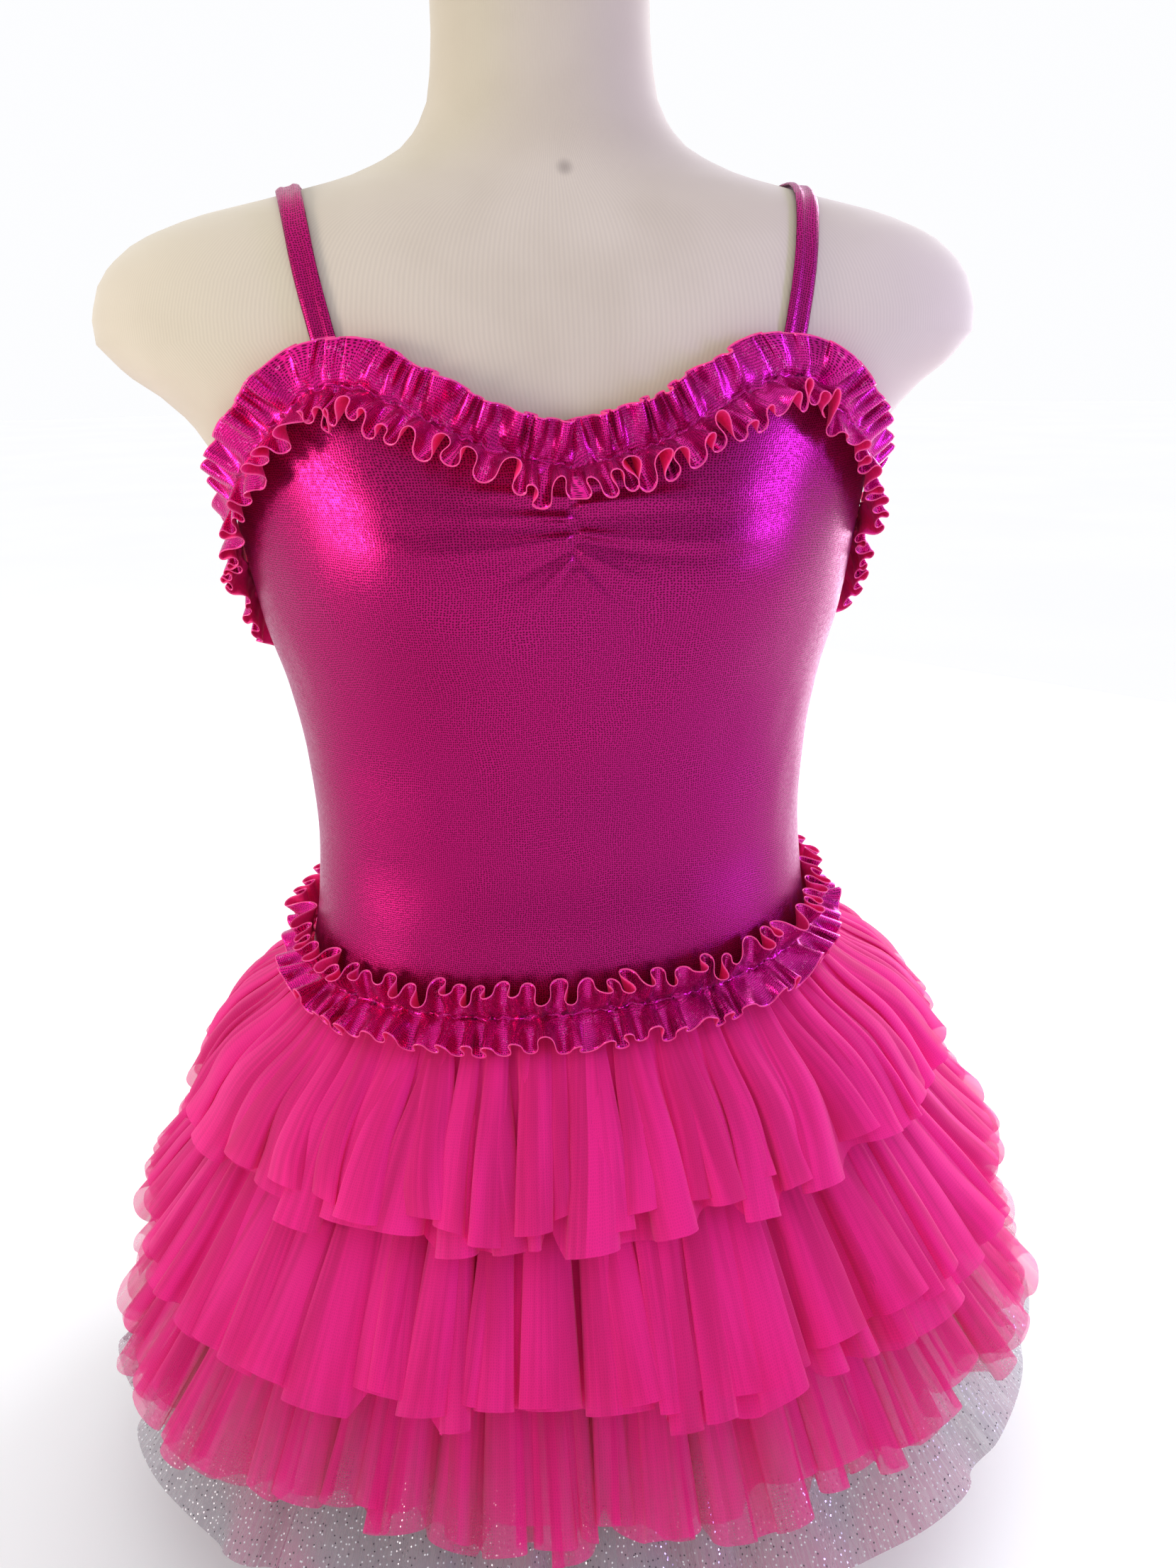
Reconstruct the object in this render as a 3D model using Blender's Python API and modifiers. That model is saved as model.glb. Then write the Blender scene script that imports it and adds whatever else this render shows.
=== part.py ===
"""A camisole tutu dress on a limbless dress form, in metres, +Z up, the front facing -Y.

The form is one loft of level sections. Every piece of cloth is a grid of points worked out from
the form's surface and given a wall, so that the bodice, the straps and the ruffles follow the
form and the gathered tiers hang from a plain yoke round its hips. The form stands on z = 0.
"""

import math
from collections import namedtuple

import bmesh
import bpy
import numpy as np

MM = 0.001
COLLECTION_NAME = "tutu_dress_on_form"

# Walls and gaps
CLOTH_WALL = 1.2 * MM
TULLE_WALL = 1.0 * MM
STRAP_WALL = 1.3 * MM
SKIN_GAP = 1.4 * MM  # between the form and the cloth that lies on it
SEAM_GAP = 0.3 * MM  # between pieces that are sewn to each other

# The form, by level sections from its base to the top of its neck
Section = namedtuple("Section", "height half_width front back")
FORM_SECTIONS = (
    Section(0.000, 0.147, 0.091, 0.104),
    Section(0.050, 0.153, 0.096, 0.110),
    Section(0.110, 0.158, 0.101, 0.115),
    Section(0.170, 0.159, 0.104, 0.118),
    Section(0.230, 0.156, 0.105, 0.116),
    Section(0.280, 0.150, 0.103, 0.111),
    Section(0.320, 0.1425, 0.100, 0.103),
    Section(0.360, 0.135, 0.095, 0.095),
    Section(0.400, 0.132, 0.090, 0.089),
    Section(0.440, 0.134, 0.090, 0.088),
    Section(0.480, 0.140, 0.093, 0.090),
    Section(0.515, 0.149, 0.097, 0.093),
    Section(0.545, 0.154, 0.100, 0.095),
    Section(0.575, 0.159, 0.101, 0.096),
    Section(0.600, 0.169, 0.098, 0.096),
    Section(0.618, 0.183, 0.094, 0.096),
    Section(0.634, 0.204, 0.089, 0.095),
    Section(0.650, 0.216, 0.084, 0.093),
    Section(0.670, 0.2115, 0.077, 0.090),
    Section(0.687, 0.196, 0.070, 0.086),
    Section(0.699, 0.168, 0.064, 0.082),
    Section(0.708, 0.129, 0.059, 0.079),
    Section(0.718, 0.090, 0.054, 0.075),
    Section(0.732, 0.064, 0.049, 0.070),
    Section(0.752, 0.053, 0.044, 0.065),
    Section(0.785, 0.050, 0.041, 0.061),
    Section(0.826, 0.050, 0.043, 0.059),
    Section(0.832, 0.046, 0.039, 0.055),
)
FORM_SQUARENESS = 2.2  # 2 would make each section two half ellipses
FORM_TURNS = 40
RING_STEP = 0.020  # rings are added between sections that lie further apart under the bodice
BUST_APART, BUST_HEIGHT = 0.158, 0.548
BUST_RISE, BUST_WIDTH, BUST_TALL = 0.016, 0.056, 0.052

# The bodice's edges, by degrees round the form from the centre front to the centre back
EdgePoint = namedtuple("EdgePoint", "degrees height")
NECK_EDGE = (
    EdgePoint(0, 0.592),
    EdgePoint(9, 0.598),
    EdgePoint(15, 0.604),
    EdgePoint(20, 0.613),
    EdgePoint(24.5, 0.621),
    EdgePoint(29, 0.627),
    EdgePoint(33, 0.626),
    EdgePoint(38, 0.619),
    EdgePoint(43, 0.612),
    EdgePoint(51, 0.601),
    EdgePoint(60, 0.589),
    EdgePoint(70, 0.574),
    EdgePoint(79, 0.556),
    EdgePoint(87, 0.536),
    EdgePoint(97, 0.518),
    EdgePoint(112, 0.507),
    EdgePoint(130, 0.501),
    EdgePoint(180, 0.495),
)
EDGE_ABOVE_GATHER = 4 * MM  # how far the bodice runs on past the ruffle's gathering line
SEAM_HEIGHT, SEAM_DIP, SEAM_TILT = 0.330, 0.010, 0.006
SEAM_TO_RUFFLE = 4 * MM
FRONT_COLUMNS, FRONT_ROWS = 22, 15
BACK_COLUMNS, BACK_ROWS = 20, 9
PINCH_HEIGHT, PINCH_DEPTH, PINCH_FADE = 0.566, 1.2 * MM, 20 * MM

# The yoke under the skirt, which carries the rows that the tiers are gathered to
YOKE_DEPTH = 0.090
YOKE_COLUMNS, YOKE_ROWS = 40, 3

# Straps
STRAP_WIDTH = 11 * MM
STRAP_STEPS = 27
STRAP_HUB_HEIGHT = 0.610  # its steps turn about this height, from the front over the shoulder
StrapPoint = namedtuple("StrapPoint", "degrees side")
STRAP_ROUTE = (
    StrapPoint(14.5, 0.0990),
    StrapPoint(28, 0.1040),
    StrapPoint(50, 0.1110),
    StrapPoint(90, 0.1190),
    StrapPoint(140, 0.1060),
    StrapPoint(228, 0.0690),
)

# Ruffles: each row across the strip, from its lower edge to its upper edge. The lift is from the
# bodice's outer face to the middle of the strip
RuffleRow = namedtuple("RuffleRow", "across lift wave")
NECK_RUFFLE_ROWS = (
    RuffleRow(-16.5 * MM, 7.4 * MM, 3.4 * MM),
    RuffleRow(0, 2.1 * MM, 0.6 * MM),
    RuffleRow(17.5 * MM, 5.8 * MM, 2.6 * MM),
)
HIP_RUFFLE_ROWS = (
    RuffleRow(-10.0 * MM, 15.0 * MM, 3.0 * MM),
    RuffleRow(0, 2.1 * MM, 0.6 * MM),
    RuffleRow(16.0 * MM, 7.5 * MM, 3.0 * MM),
)
NECK_RUFFLE_WAVES, HIP_RUFFLE_WAVES = 64, 44

# Tiers: the profile of each, out from the yoke and down from the skirt seam
ProfilePoint = namedtuple("ProfilePoint", "out down")
Tier = namedtuple("Tier", "name waves wave hem_swing profile")
TIERS = (
    Tier(
        "tulle_tier_1", 28, 6.5 * MM, 5 * MM,
        (
            ProfilePoint(0.0014, 0.007),
            ProfilePoint(0.020, 0.024),
            ProfilePoint(0.046, 0.044),
            ProfilePoint(0.066, 0.078),
        ),
    ),
    Tier(
        "tulle_tier_2", 24, 7.5 * MM, 6 * MM,
        (
            ProfilePoint(0.0014, 0.030),
            ProfilePoint(0.022, 0.054),
            ProfilePoint(0.058, 0.100),
            ProfilePoint(0.098, 0.152),
        ),
    ),
    Tier(
        "tulle_tier_3", 22, 7.0 * MM, 6 * MM,
        (
            ProfilePoint(0.0014, 0.055),
            ProfilePoint(0.022, 0.088),
            ProfilePoint(0.060, 0.150),
            ProfilePoint(0.110, 0.218),
        ),
    ),
    Tier(
        "glitter_net", 18, 6.0 * MM, 6 * MM,
        (
            ProfilePoint(0.0014, 0.080),
            ProfilePoint(0.022, 0.122),
            ProfilePoint(0.060, 0.194),
            ProfilePoint(0.118, 0.258),
        ),
    ),
)
SAMPLES_A_WAVE = 4
SIDE_FLARE = 0.14  # how much further the tiers stand out at the sides than at the front

# Colours, as linear red, green and blue, with roughness and metallic value
Finish = namedtuple("Finish", "colour roughness metallic")
FINISHES = {
    "jersey": Finish((0.62, 0.57, 0.46), 0.85, 0.0),
    "foil": Finish((0.42, 0.012, 0.16), 0.35, 0.6),
    "tulle": Finish((0.85, 0.02, 0.30), 0.80, 0.0),
    "net": Finish((0.62, 0.60, 0.60), 0.45, 0.2),
}


def smooth_table(at, keys, values):
    """Values read from a short table along a curve that never swings past its points."""
    keys = np.asarray(keys, float)
    values = np.asarray(values, float)
    steps = np.diff(keys)
    slopes = np.diff(values) / steps
    tangents = np.zeros_like(values)
    same_way = slopes[:-1] * slopes[1:] > 0
    weight_1 = 2 * steps[1:] + steps[:-1]
    weight_2 = steps[1:] + 2 * steps[:-1]
    safe_1 = np.where(same_way, slopes[:-1], 1.0)
    safe_2 = np.where(same_way, slopes[1:], 1.0)
    mean = (weight_1 + weight_2) / (weight_1 / safe_1 + weight_2 / safe_2)
    tangents[1:-1] = np.where(same_way, mean, 0.0)
    tangents[0], tangents[-1] = slopes[0], slopes[-1]
    at = np.clip(np.asarray(at, float), keys[0], keys[-1])
    i = np.clip(np.searchsorted(keys, at, side="right") - 1, 0, len(steps) - 1)
    t = (at - keys[i]) / steps[i]
    start = (1 + 2 * t) * (1 - t) ** 2 * values[i] + t * (1 - t) ** 2 * steps[i] * tangents[i]
    end = t**2 * (3 - 2 * t) * values[i + 1] + t**2 * (t - 1) * steps[i] * tangents[i + 1]
    return start + end


def plan_reach(bearing, height):
    """How far the form reaches at each bearing (0 at the front, a quarter turn at +X) and height."""
    heights = [s.height for s in FORM_SECTIONS]
    half_width = smooth_table(height, heights, [s.half_width for s in FORM_SECTIONS])
    front = smooth_table(height, heights, [s.front for s in FORM_SECTIONS])
    back = smooth_table(height, heights, [s.back for s in FORM_SECTIONS])
    depth = np.where(np.cos(bearing) > 0, front, back)
    n = FORM_SQUARENESS
    across = np.abs(np.sin(bearing)) / half_width
    along = np.abs(np.cos(bearing)) / depth
    return (across**n + along**n) ** (-1 / n), half_width, depth


def skin(turn, height):
    """Points on the form's surface. Equal turns lie evenly round a section."""
    turn, height = np.broadcast_arrays(np.asarray(turn, float), np.asarray(height, float))
    _, half_width, depth = plan_reach(turn, height)
    bearing = np.arctan2(half_width * np.sin(turn), depth * np.cos(turn))
    reach, _, _ = plan_reach(bearing, height)
    x = reach * np.sin(bearing)
    y = -reach * np.cos(bearing)
    rise = np.zeros_like(x)
    for side in (-1, 1):
        away = ((x - side * BUST_APART / 2) / BUST_WIDTH) ** 2
        away = away + ((height - BUST_HEIGHT) / BUST_TALL) ** 2
        rise = rise + np.exp(-away)
    y = y - BUST_RISE * rise * np.clip(np.cos(turn), 0, 1)
    return np.stack([x, y, height], axis=-1)


def unit(vectors):
    """Each vector at length 1."""
    return vectors / np.linalg.norm(vectors, axis=-1, keepdims=True)


def skin_slopes(turn, height):
    """How the form's surface moves with the turn and with the height."""
    step = 1e-4
    by_turn = (skin(turn + step, height) - skin(turn - step, height)) / (2 * step)
    by_height = (skin(turn, height + step) - skin(turn, height - step)) / (2 * step)
    return by_turn, by_height


def outward(turn, height):
    """The form's outward normals."""
    by_turn, by_height = skin_slopes(turn, height)
    return unit(np.cross(by_turn, by_height))


def over_skin(turn, height, lift):
    """Points at a given distance outside the form's surface."""
    lift = np.asarray(lift, float)[..., None]
    return skin(turn, height) + outward(turn, height) * lift


def gather_height(turn):
    """The height of the neck ruffle's gathering line at each turn."""
    degrees = np.abs((np.degrees(turn) + 180) % 360 - 180)
    return smooth_table(degrees, [p.degrees for p in NECK_EDGE], [p.height for p in NECK_EDGE])


def seam_height(turn):
    """The height of the skirt seam, which dips at the front and sits higher at one side."""
    return SEAM_HEIGHT - SEAM_DIP * np.cos(turn) + SEAM_TILT * np.sin(turn)


def make_material(name):
    """A plain Principled material from the table of finishes."""
    finish = FINISHES[name]
    material = bpy.data.materials.new(name)
    material.use_nodes = True
    shader = material.node_tree.nodes["Principled BSDF"]
    shader.inputs["Base Color"].default_value = (*finish.colour, 1.0)
    shader.inputs["Roughness"].default_value = finish.roughness
    shader.inputs["Metallic"].default_value = finish.metallic
    material.diffuse_color = (*finish.colour, 1.0)
    return material


def mesh_object(name, mesh, material, collection):
    """A named object with its material, in the collection."""
    mesh.materials.append(material)
    piece = bpy.data.objects.new(name, mesh)
    collection.objects.link(piece)
    return piece


def cloth(name, grid, wall, side, material, collection, closed=False):
    """A sheet from rows and columns of points, bottom row first, with a wall.

    side is 1 for a wall that grows outwards from the points, and 0 for one centred on them.
    """
    rows, columns = grid.shape[:2]
    spans = columns if closed else columns - 1
    faces = []
    for row in range(rows - 1):
        for column in range(spans):
            after = (column + 1) % columns
            low, high = row * columns, (row + 1) * columns
            faces.append((low + column, low + after, high + after, high + column))
    mesh = bpy.data.meshes.new(name)
    mesh.from_pydata(grid.reshape(-1, 3).tolist(), [], faces)
    mesh.shade_smooth()
    piece = mesh_object(name, mesh, material, collection)
    thick = piece.modifiers.new("wall", "SOLIDIFY")
    thick.thickness = wall
    thick.offset = side
    thick.use_even_offset = True
    return piece


def ring_heights():
    """The heights of the form's rings: its sections, and more of them under the bodice."""
    heights = [s.height for s in FORM_SECTIONS]
    covered = (SEAM_HEIGHT - SEAM_DIP, BUST_HEIGHT + BUST_TALL)
    added = []
    for below, above in zip(heights[:-1], heights[1:]):
        if covered[0] <= below and above <= covered[1]:
            parts = math.ceil((above - below) / RING_STEP)
            added += [below + (above - below) * i / parts for i in range(1, parts)]
    return sorted(heights + added)


def make_form(material, collection):
    """The dress form: level rings joined into one closed body with a flat base."""
    bm = bmesh.new()
    turns = np.arange(FORM_TURNS) * 2 * math.pi / FORM_TURNS
    rings = []
    for height in ring_heights():
        points = skin(turns, np.full(FORM_TURNS, height))
        rings.append([bm.verts.new(point) for point in points])
    for below, above in zip(rings[:-1], rings[1:]):
        for i in range(FORM_TURNS):
            j = (i + 1) % FORM_TURNS
            bm.faces.new((below[i], below[j], above[j], above[i]))
    bm.faces.new(reversed(rings[0]))
    bm.faces.new(rings[-1])
    mesh = bpy.data.meshes.new("dress_form")
    bm.to_mesh(mesh)
    bm.free()
    mesh.shade_smooth()
    mesh.set_sharp_from_angle(angle=math.radians(50))
    return mesh_object("dress_form", mesh, material, collection)


def bodice_grid(start, end, columns, rows):
    """Points of a bodice panel between two turns, from the skirt seam to its top edge."""
    turn = np.linspace(start, end, columns + 1)[None, :]
    share = np.linspace(0, 1, rows + 1)[:, None]
    bottom = seam_height(turn)
    top = gather_height(turn) + EDGE_ABOVE_GATHER
    height = bottom + (top - bottom) * share
    turn = np.broadcast_to(turn, height.shape)
    away = (turn / math.radians(6)) ** 2 + ((height - PINCH_HEIGHT) / 0.02) ** 2
    fade = np.clip((top - height) / PINCH_FADE, 0, 1)
    lift = SKIN_GAP + PINCH_DEPTH * (1 - np.exp(-away)) * np.exp(-away / 9) * fade
    return over_skin(turn, height, lift)


def make_bodice(material, collection):
    """The front and back panels, which meet at the side seams."""
    seam = SEAM_GAP / 2 / 0.10
    quarter = math.pi / 2
    front = bodice_grid(-quarter + seam, quarter - seam, FRONT_COLUMNS, FRONT_ROWS)
    back = bodice_grid(quarter + seam, 3 * quarter - seam, BACK_COLUMNS, BACK_ROWS)
    cloth("bodice_front", front, CLOTH_WALL, 1, material, collection)
    cloth("bodice_back", back, CLOTH_WALL, 1, material, collection)


def make_yoke(material, collection):
    """The plain band round the hips below the bodice."""
    turn = (np.arange(YOKE_COLUMNS) * 2 * math.pi / YOKE_COLUMNS)[None, :]
    share = np.linspace(0, 1, YOKE_ROWS + 1)[:, None]
    height = seam_height(turn) - SEAM_GAP - YOKE_DEPTH * (1 - share)
    grid = over_skin(np.broadcast_to(turn, height.shape), height, np.full(height.shape, SKIN_GAP))
    cloth("hip_yoke", grid, CLOTH_WALL, 1, material, collection, closed=True)


def inside_form(points):
    """True for each point inside the form, the bust aside."""
    x, y, z = points[..., 0], points[..., 1], points[..., 2]
    reach, _, _ = plan_reach(np.arctan2(x, -y), z)
    return (np.hypot(x, y) < reach) & (z < FORM_SECTIONS[-1].height)


def over_shoulder(side, angle):
    """The form's surface in the level with x = side, at an angle up from the front about the hub."""
    side, angle = np.broadcast_arrays(np.asarray(side, float), np.asarray(angle, float))
    way = np.stack([np.zeros_like(angle), -np.cos(angle), np.sin(angle)], axis=-1)
    hub = np.stack([side, np.zeros_like(side), np.full_like(side, STRAP_HUB_HEIGHT)], axis=-1)
    near = np.zeros_like(angle)
    far = np.full_like(angle, 0.3)
    for _ in range(40):
        middle = (near + far) / 2
        held = inside_form(hub + way * middle[..., None])
        near = np.where(held, middle, near)
        far = np.where(held, far, middle)
    return hub + way * near[..., None]


def make_strap(name, hand, material, collection):
    """A flat strap from the bodice's front edge over the shoulder to its back edge."""
    degrees = np.linspace(STRAP_ROUTE[0].degrees, STRAP_ROUTE[-1].degrees, STRAP_STEPS)
    side = smooth_table(degrees, [p.degrees for p in STRAP_ROUTE], [p.side for p in STRAP_ROUTE])
    angle = np.radians(degrees)
    step = 1e-3
    spine = over_shoulder(side, angle)
    along = unit(np.gradient(spine, axis=0))
    across_skin = over_shoulder(side + step, angle) - over_shoulder(side - step, angle)
    up = unit(np.cross(across_skin, np.gradient(spine, axis=0)))
    across = unit(np.cross(along, up))
    spine = spine + up * (SKIN_GAP + SEAM_GAP)
    shares = np.array([0.5, 0.0, -0.5])[:, None, None]
    grid = spine[None] + across[None] * STRAP_WIDTH * shares
    if hand < 0:
        grid = grid[::-1] * np.array([-1.0, 1.0, 1.0])
    cloth(name, grid, STRAP_WALL, 1, material, collection)


def uneven(turn, seed):
    """A slow swing between about -1 and 1 that closes round a full turn."""
    first = np.sin(2 * turn + 1.7 * seed)
    second = np.sin(5 * turn + 0.9 * seed + 1.1)
    return 0.55 * first + 0.45 * second


def wave_turns(waves, seed):
    """Turns of the wave samples, closer here and further apart there, and each one's height."""
    turn = np.linspace(0, 2 * math.pi, 721)
    phase = waves * turn + 1.6 * uneven(turn, seed)
    phase = phase - phase[0]
    wanted = np.arange(waves * SAMPLES_A_WAVE) * 2 * math.pi / SAMPLES_A_WAVE
    turns = np.interp(wanted, phase, turn)
    crest = np.sign(np.sin(wanted + math.pi / 4)) * (1 + 0.22 * uneven(turns, seed + 3))
    return turns, crest


def ruffle_grid(line_height, rows, waves, seed):
    """Points of a strip gathered along a line round the form, its edges standing out in waves."""
    fine = np.linspace(0, 2 * math.pi, 1441)
    line = skin(fine, line_height(fine))
    length = np.concatenate([[0], np.cumsum(np.linalg.norm(np.diff(line, axis=0), axis=1))])
    share, crest = wave_turns(waves, seed)
    turn = np.interp(share / (2 * math.pi) * length[-1], length, fine)
    height = line_height(turn)
    step = 1e-3
    ahead = skin(turn + step, line_height(turn + step))
    behind = skin(turn - step, line_height(turn - step))
    along = unit(ahead - behind)
    across = unit(np.cross(outward(turn, height), along))
    by_turn, by_height = skin_slopes(turn, height)
    grid = []
    for row in rows:
        # The turn and height that move the point across the strip, on the form's surface
        wanted = across * row.across
        a = np.sum(by_turn * by_turn, axis=1)
        b = np.sum(by_turn * by_height, axis=1)
        c = np.sum(by_height * by_height, axis=1)
        d = np.sum(wanted * by_turn, axis=1)
        e = np.sum(wanted * by_height, axis=1)
        whole = a * c - b * b
        moved_turn = turn + (d * c - e * b) / whole
        moved_height = height + (a * e - b * d) / whole
        lift = SKIN_GAP + CLOTH_WALL + row.lift + crest * row.wave
        grid.append(over_skin(moved_turn, moved_height, lift))
    return np.array(grid)


def make_ruffles(material, collection):
    """The ruffle round the neckline and armholes, and the one on the skirt seam."""
    neck = ruffle_grid(gather_height, NECK_RUFFLE_ROWS, NECK_RUFFLE_WAVES, 1)
    cloth("neck_ruffle", neck, CLOTH_WALL, 0, material, collection, closed=True)

    def hip_line(turn):
        return seam_height(turn) + SEAM_TO_RUFFLE

    hip = ruffle_grid(hip_line, HIP_RUFFLE_ROWS, HIP_RUFFLE_WAVES, 2)
    cloth("hip_ruffle", hip, CLOTH_WALL, 0, material, collection, closed=True)


def tier_grid(tier, seed):
    """Points of one gathered tier, from its hem up to the yoke."""
    turn, crest = wave_turns(tier.waves, seed)
    out = np.array([p.out for p in tier.profile])
    down = np.array([p.down for p in tier.profile])
    slope_out, slope_down = np.gradient(out), np.gradient(down)
    size = np.hypot(slope_out, slope_down)
    seam = seam_height(turn)
    root = over_skin(turn, seam - down[0], np.full(turn.shape, SKIN_GAP + CLOTH_WALL))
    plain = unit(outward(turn, seam - down[0]) * np.array([1.0, 1.0, 0.0]))
    flare = 1 + SIDE_FLARE * np.sin(turn) ** 2
    grid = []
    for i in reversed(range(len(out))):
        share = (i / (len(out) - 1)) ** 0.8
        wave = crest * (0.5 * MM + (tier.wave - 0.5 * MM) * share)
        swing = tier.hem_swing * uneven(turn, seed + 5) * share**2
        reach = out[i] * (1 + (flare - 1) * share) + wave * slope_down[i] / size[i]
        reach = reach + swing * slope_out[i] / size[i]
        drop = down[i] + swing * slope_down[i] / size[i] - wave * slope_out[i] / size[i]
        points = root + plain * reach[:, None]
        points[:, 2] = seam - drop
        grid.append(points)
    return np.array(grid)


def make_skirt(tulle, net, collection):
    """The three tulle tiers and the net under them."""
    for number, tier in enumerate(TIERS):
        material = net if tier.name == "glitter_net" else tulle
        grid = tier_grid(tier, 7 + number)
        cloth(tier.name, grid, TULLE_WALL, 0, material, collection, closed=True)


def main():
    """Clears the scene and makes every piece."""
    for old in list(bpy.data.objects):
        bpy.data.objects.remove(old, do_unlink=True)
    collection = bpy.data.collections.new(COLLECTION_NAME)
    bpy.context.scene.collection.children.link(collection)
    materials = {name: make_material(name) for name in FINISHES}
    make_form(materials["jersey"], collection)
    make_bodice(materials["foil"], collection)
    make_yoke(materials["tulle"], collection)
    make_strap("strap_left", -1, materials["foil"], collection)
    make_strap("strap_right", 1, materials["foil"], collection)
    make_ruffles(materials["foil"], collection)
    make_skirt(materials["tulle"], materials["net"], collection)


main()
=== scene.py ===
"""A camisole tutu dress on its display form, finished and lit for the picture.

Every piece of cloth is worked out over the form's surface, in the frame and at the size of the
solids, and each one stands for the solid of the same name.
"""

import logging
import math
from dataclasses import dataclass
from enum import Enum
from typing import Callable, Dict, List, Optional, Sequence, Tuple

import bpy
import numpy as np
from mathutils import Matrix, Vector


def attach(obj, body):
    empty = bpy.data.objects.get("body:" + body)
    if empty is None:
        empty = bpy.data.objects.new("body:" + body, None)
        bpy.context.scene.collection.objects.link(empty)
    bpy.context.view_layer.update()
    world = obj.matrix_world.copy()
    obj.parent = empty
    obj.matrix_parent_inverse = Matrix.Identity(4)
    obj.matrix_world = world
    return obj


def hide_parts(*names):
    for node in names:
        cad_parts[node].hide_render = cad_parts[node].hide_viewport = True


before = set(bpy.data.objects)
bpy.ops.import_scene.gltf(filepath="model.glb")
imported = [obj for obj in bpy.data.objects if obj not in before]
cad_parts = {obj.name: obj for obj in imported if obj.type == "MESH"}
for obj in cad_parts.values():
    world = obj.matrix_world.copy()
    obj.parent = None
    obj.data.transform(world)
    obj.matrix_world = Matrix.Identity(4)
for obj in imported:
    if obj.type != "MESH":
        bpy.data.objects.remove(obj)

log = logging.getLogger("tutu")

MM = 0.001
FULL_TURN = 2 * math.pi
BODY = "root"
Colour = Tuple[float, float, float]


@dataclass(frozen=True)
class Section:
    """A level section of the form: its height and how far it reaches to the sides, front and back."""

    height: float
    half_width: float
    front: float
    back: float


@dataclass(frozen=True)
class EdgePoint:
    """A point of the bodice's top edge, by degrees from the centre front."""

    degrees: float
    height: float


@dataclass(frozen=True)
class Crease:
    """A soft trough or ridge drawn into the bodice from the ruched centre front."""

    side: int
    height: float
    length: float
    slope: float
    depth: float
    width: float


def smooth_table(at: np.ndarray, keys: Sequence[float], values: Sequence[float]) -> np.ndarray:
    """Reads values from a short table along a curve that never swings past its points.

    Args:
        at: Where to read.
        keys: The table's rising keys.
        values: Its values.

    Returns:
        The values at those places.
    """
    keys = np.asarray(keys, float)
    values = np.asarray(values, float)
    steps = np.diff(keys)
    slopes = np.diff(values) / steps
    tangents = np.zeros_like(values)
    same_way = slopes[:-1] * slopes[1:] > 0
    near = 2 * steps[1:] + steps[:-1]
    far = steps[1:] + 2 * steps[:-1]
    before = np.where(same_way, slopes[:-1], 1.0)
    after = np.where(same_way, slopes[1:], 1.0)
    tangents[1:-1] = np.where(same_way, (near + far) / (near / before + far / after), 0.0)
    tangents[0], tangents[-1] = slopes[0], slopes[-1]
    at = np.clip(np.asarray(at, float), keys[0], keys[-1])
    i = np.clip(np.searchsorted(keys, at, side="right") - 1, 0, len(steps) - 1)
    t = (at - keys[i]) / steps[i]
    start = (1 + 2 * t) * (1 - t) ** 2 * values[i] + t * (1 - t) ** 2 * steps[i] * tangents[i]
    end = t**2 * (3 - 2 * t) * values[i + 1] + t**2 * (t - 1) * steps[i] * tangents[i + 1]
    return start + end


def unit(vectors: np.ndarray) -> np.ndarray:
    """Each vector at length 1."""
    return vectors / np.linalg.norm(vectors, axis=-1, keepdims=True)


def wander(turn: np.ndarray, seed: float, beats: Sequence[int] = (2, 3, 5, 9)) -> np.ndarray:
    """A slow swing between about -1 and 1 that closes round a full turn.

    Args:
        turn: Turns round the form.
        seed: Which swing.
        beats: How many times each of its parts swings in a full turn.

    Returns:
        The swing at each turn.
    """
    total = np.zeros_like(turn)
    for number, beat in enumerate(beats):
        total = total + np.sin(beat * turn + seed * (1.7 + 1.3 * number) + 2.1 * number)
    return total / math.sqrt(2 * len(beats)) * 1.1


def grain(across: np.ndarray, along: np.ndarray, seed: float, round_trip: int) -> np.ndarray:
    """Smooth lattice noise between -1 and 1 that repeats after round_trip cells across.

    Args:
        across: Place across, in cells.
        along: Place along, in cells.
        seed: Which noise.
        round_trip: How many cells across it repeats after.

    Returns:
        The noise.
    """
    across, along = np.broadcast_arrays(across, along)
    column, row = np.floor(across), np.floor(along)
    x, y = across - column, along - row
    x, y = x * x * (3 - 2 * x), y * y * (3 - 2 * y)

    def corner(right: int, up: int) -> np.ndarray:
        """The lattice's own value at one corner of each cell."""
        cell = np.mod(column + right, round_trip)
        wave = np.sin(cell * 12.9898 + (row + up) * 78.233 + seed * 37.719) * 43758.5453
        return np.mod(wave, 1.0) * 2 - 1

    low = corner(0, 0) * (1 - x) + corner(1, 0) * x
    high = corner(0, 1) * (1 - x) + corner(1, 1) * x
    return low * (1 - y) + high * y


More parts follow.
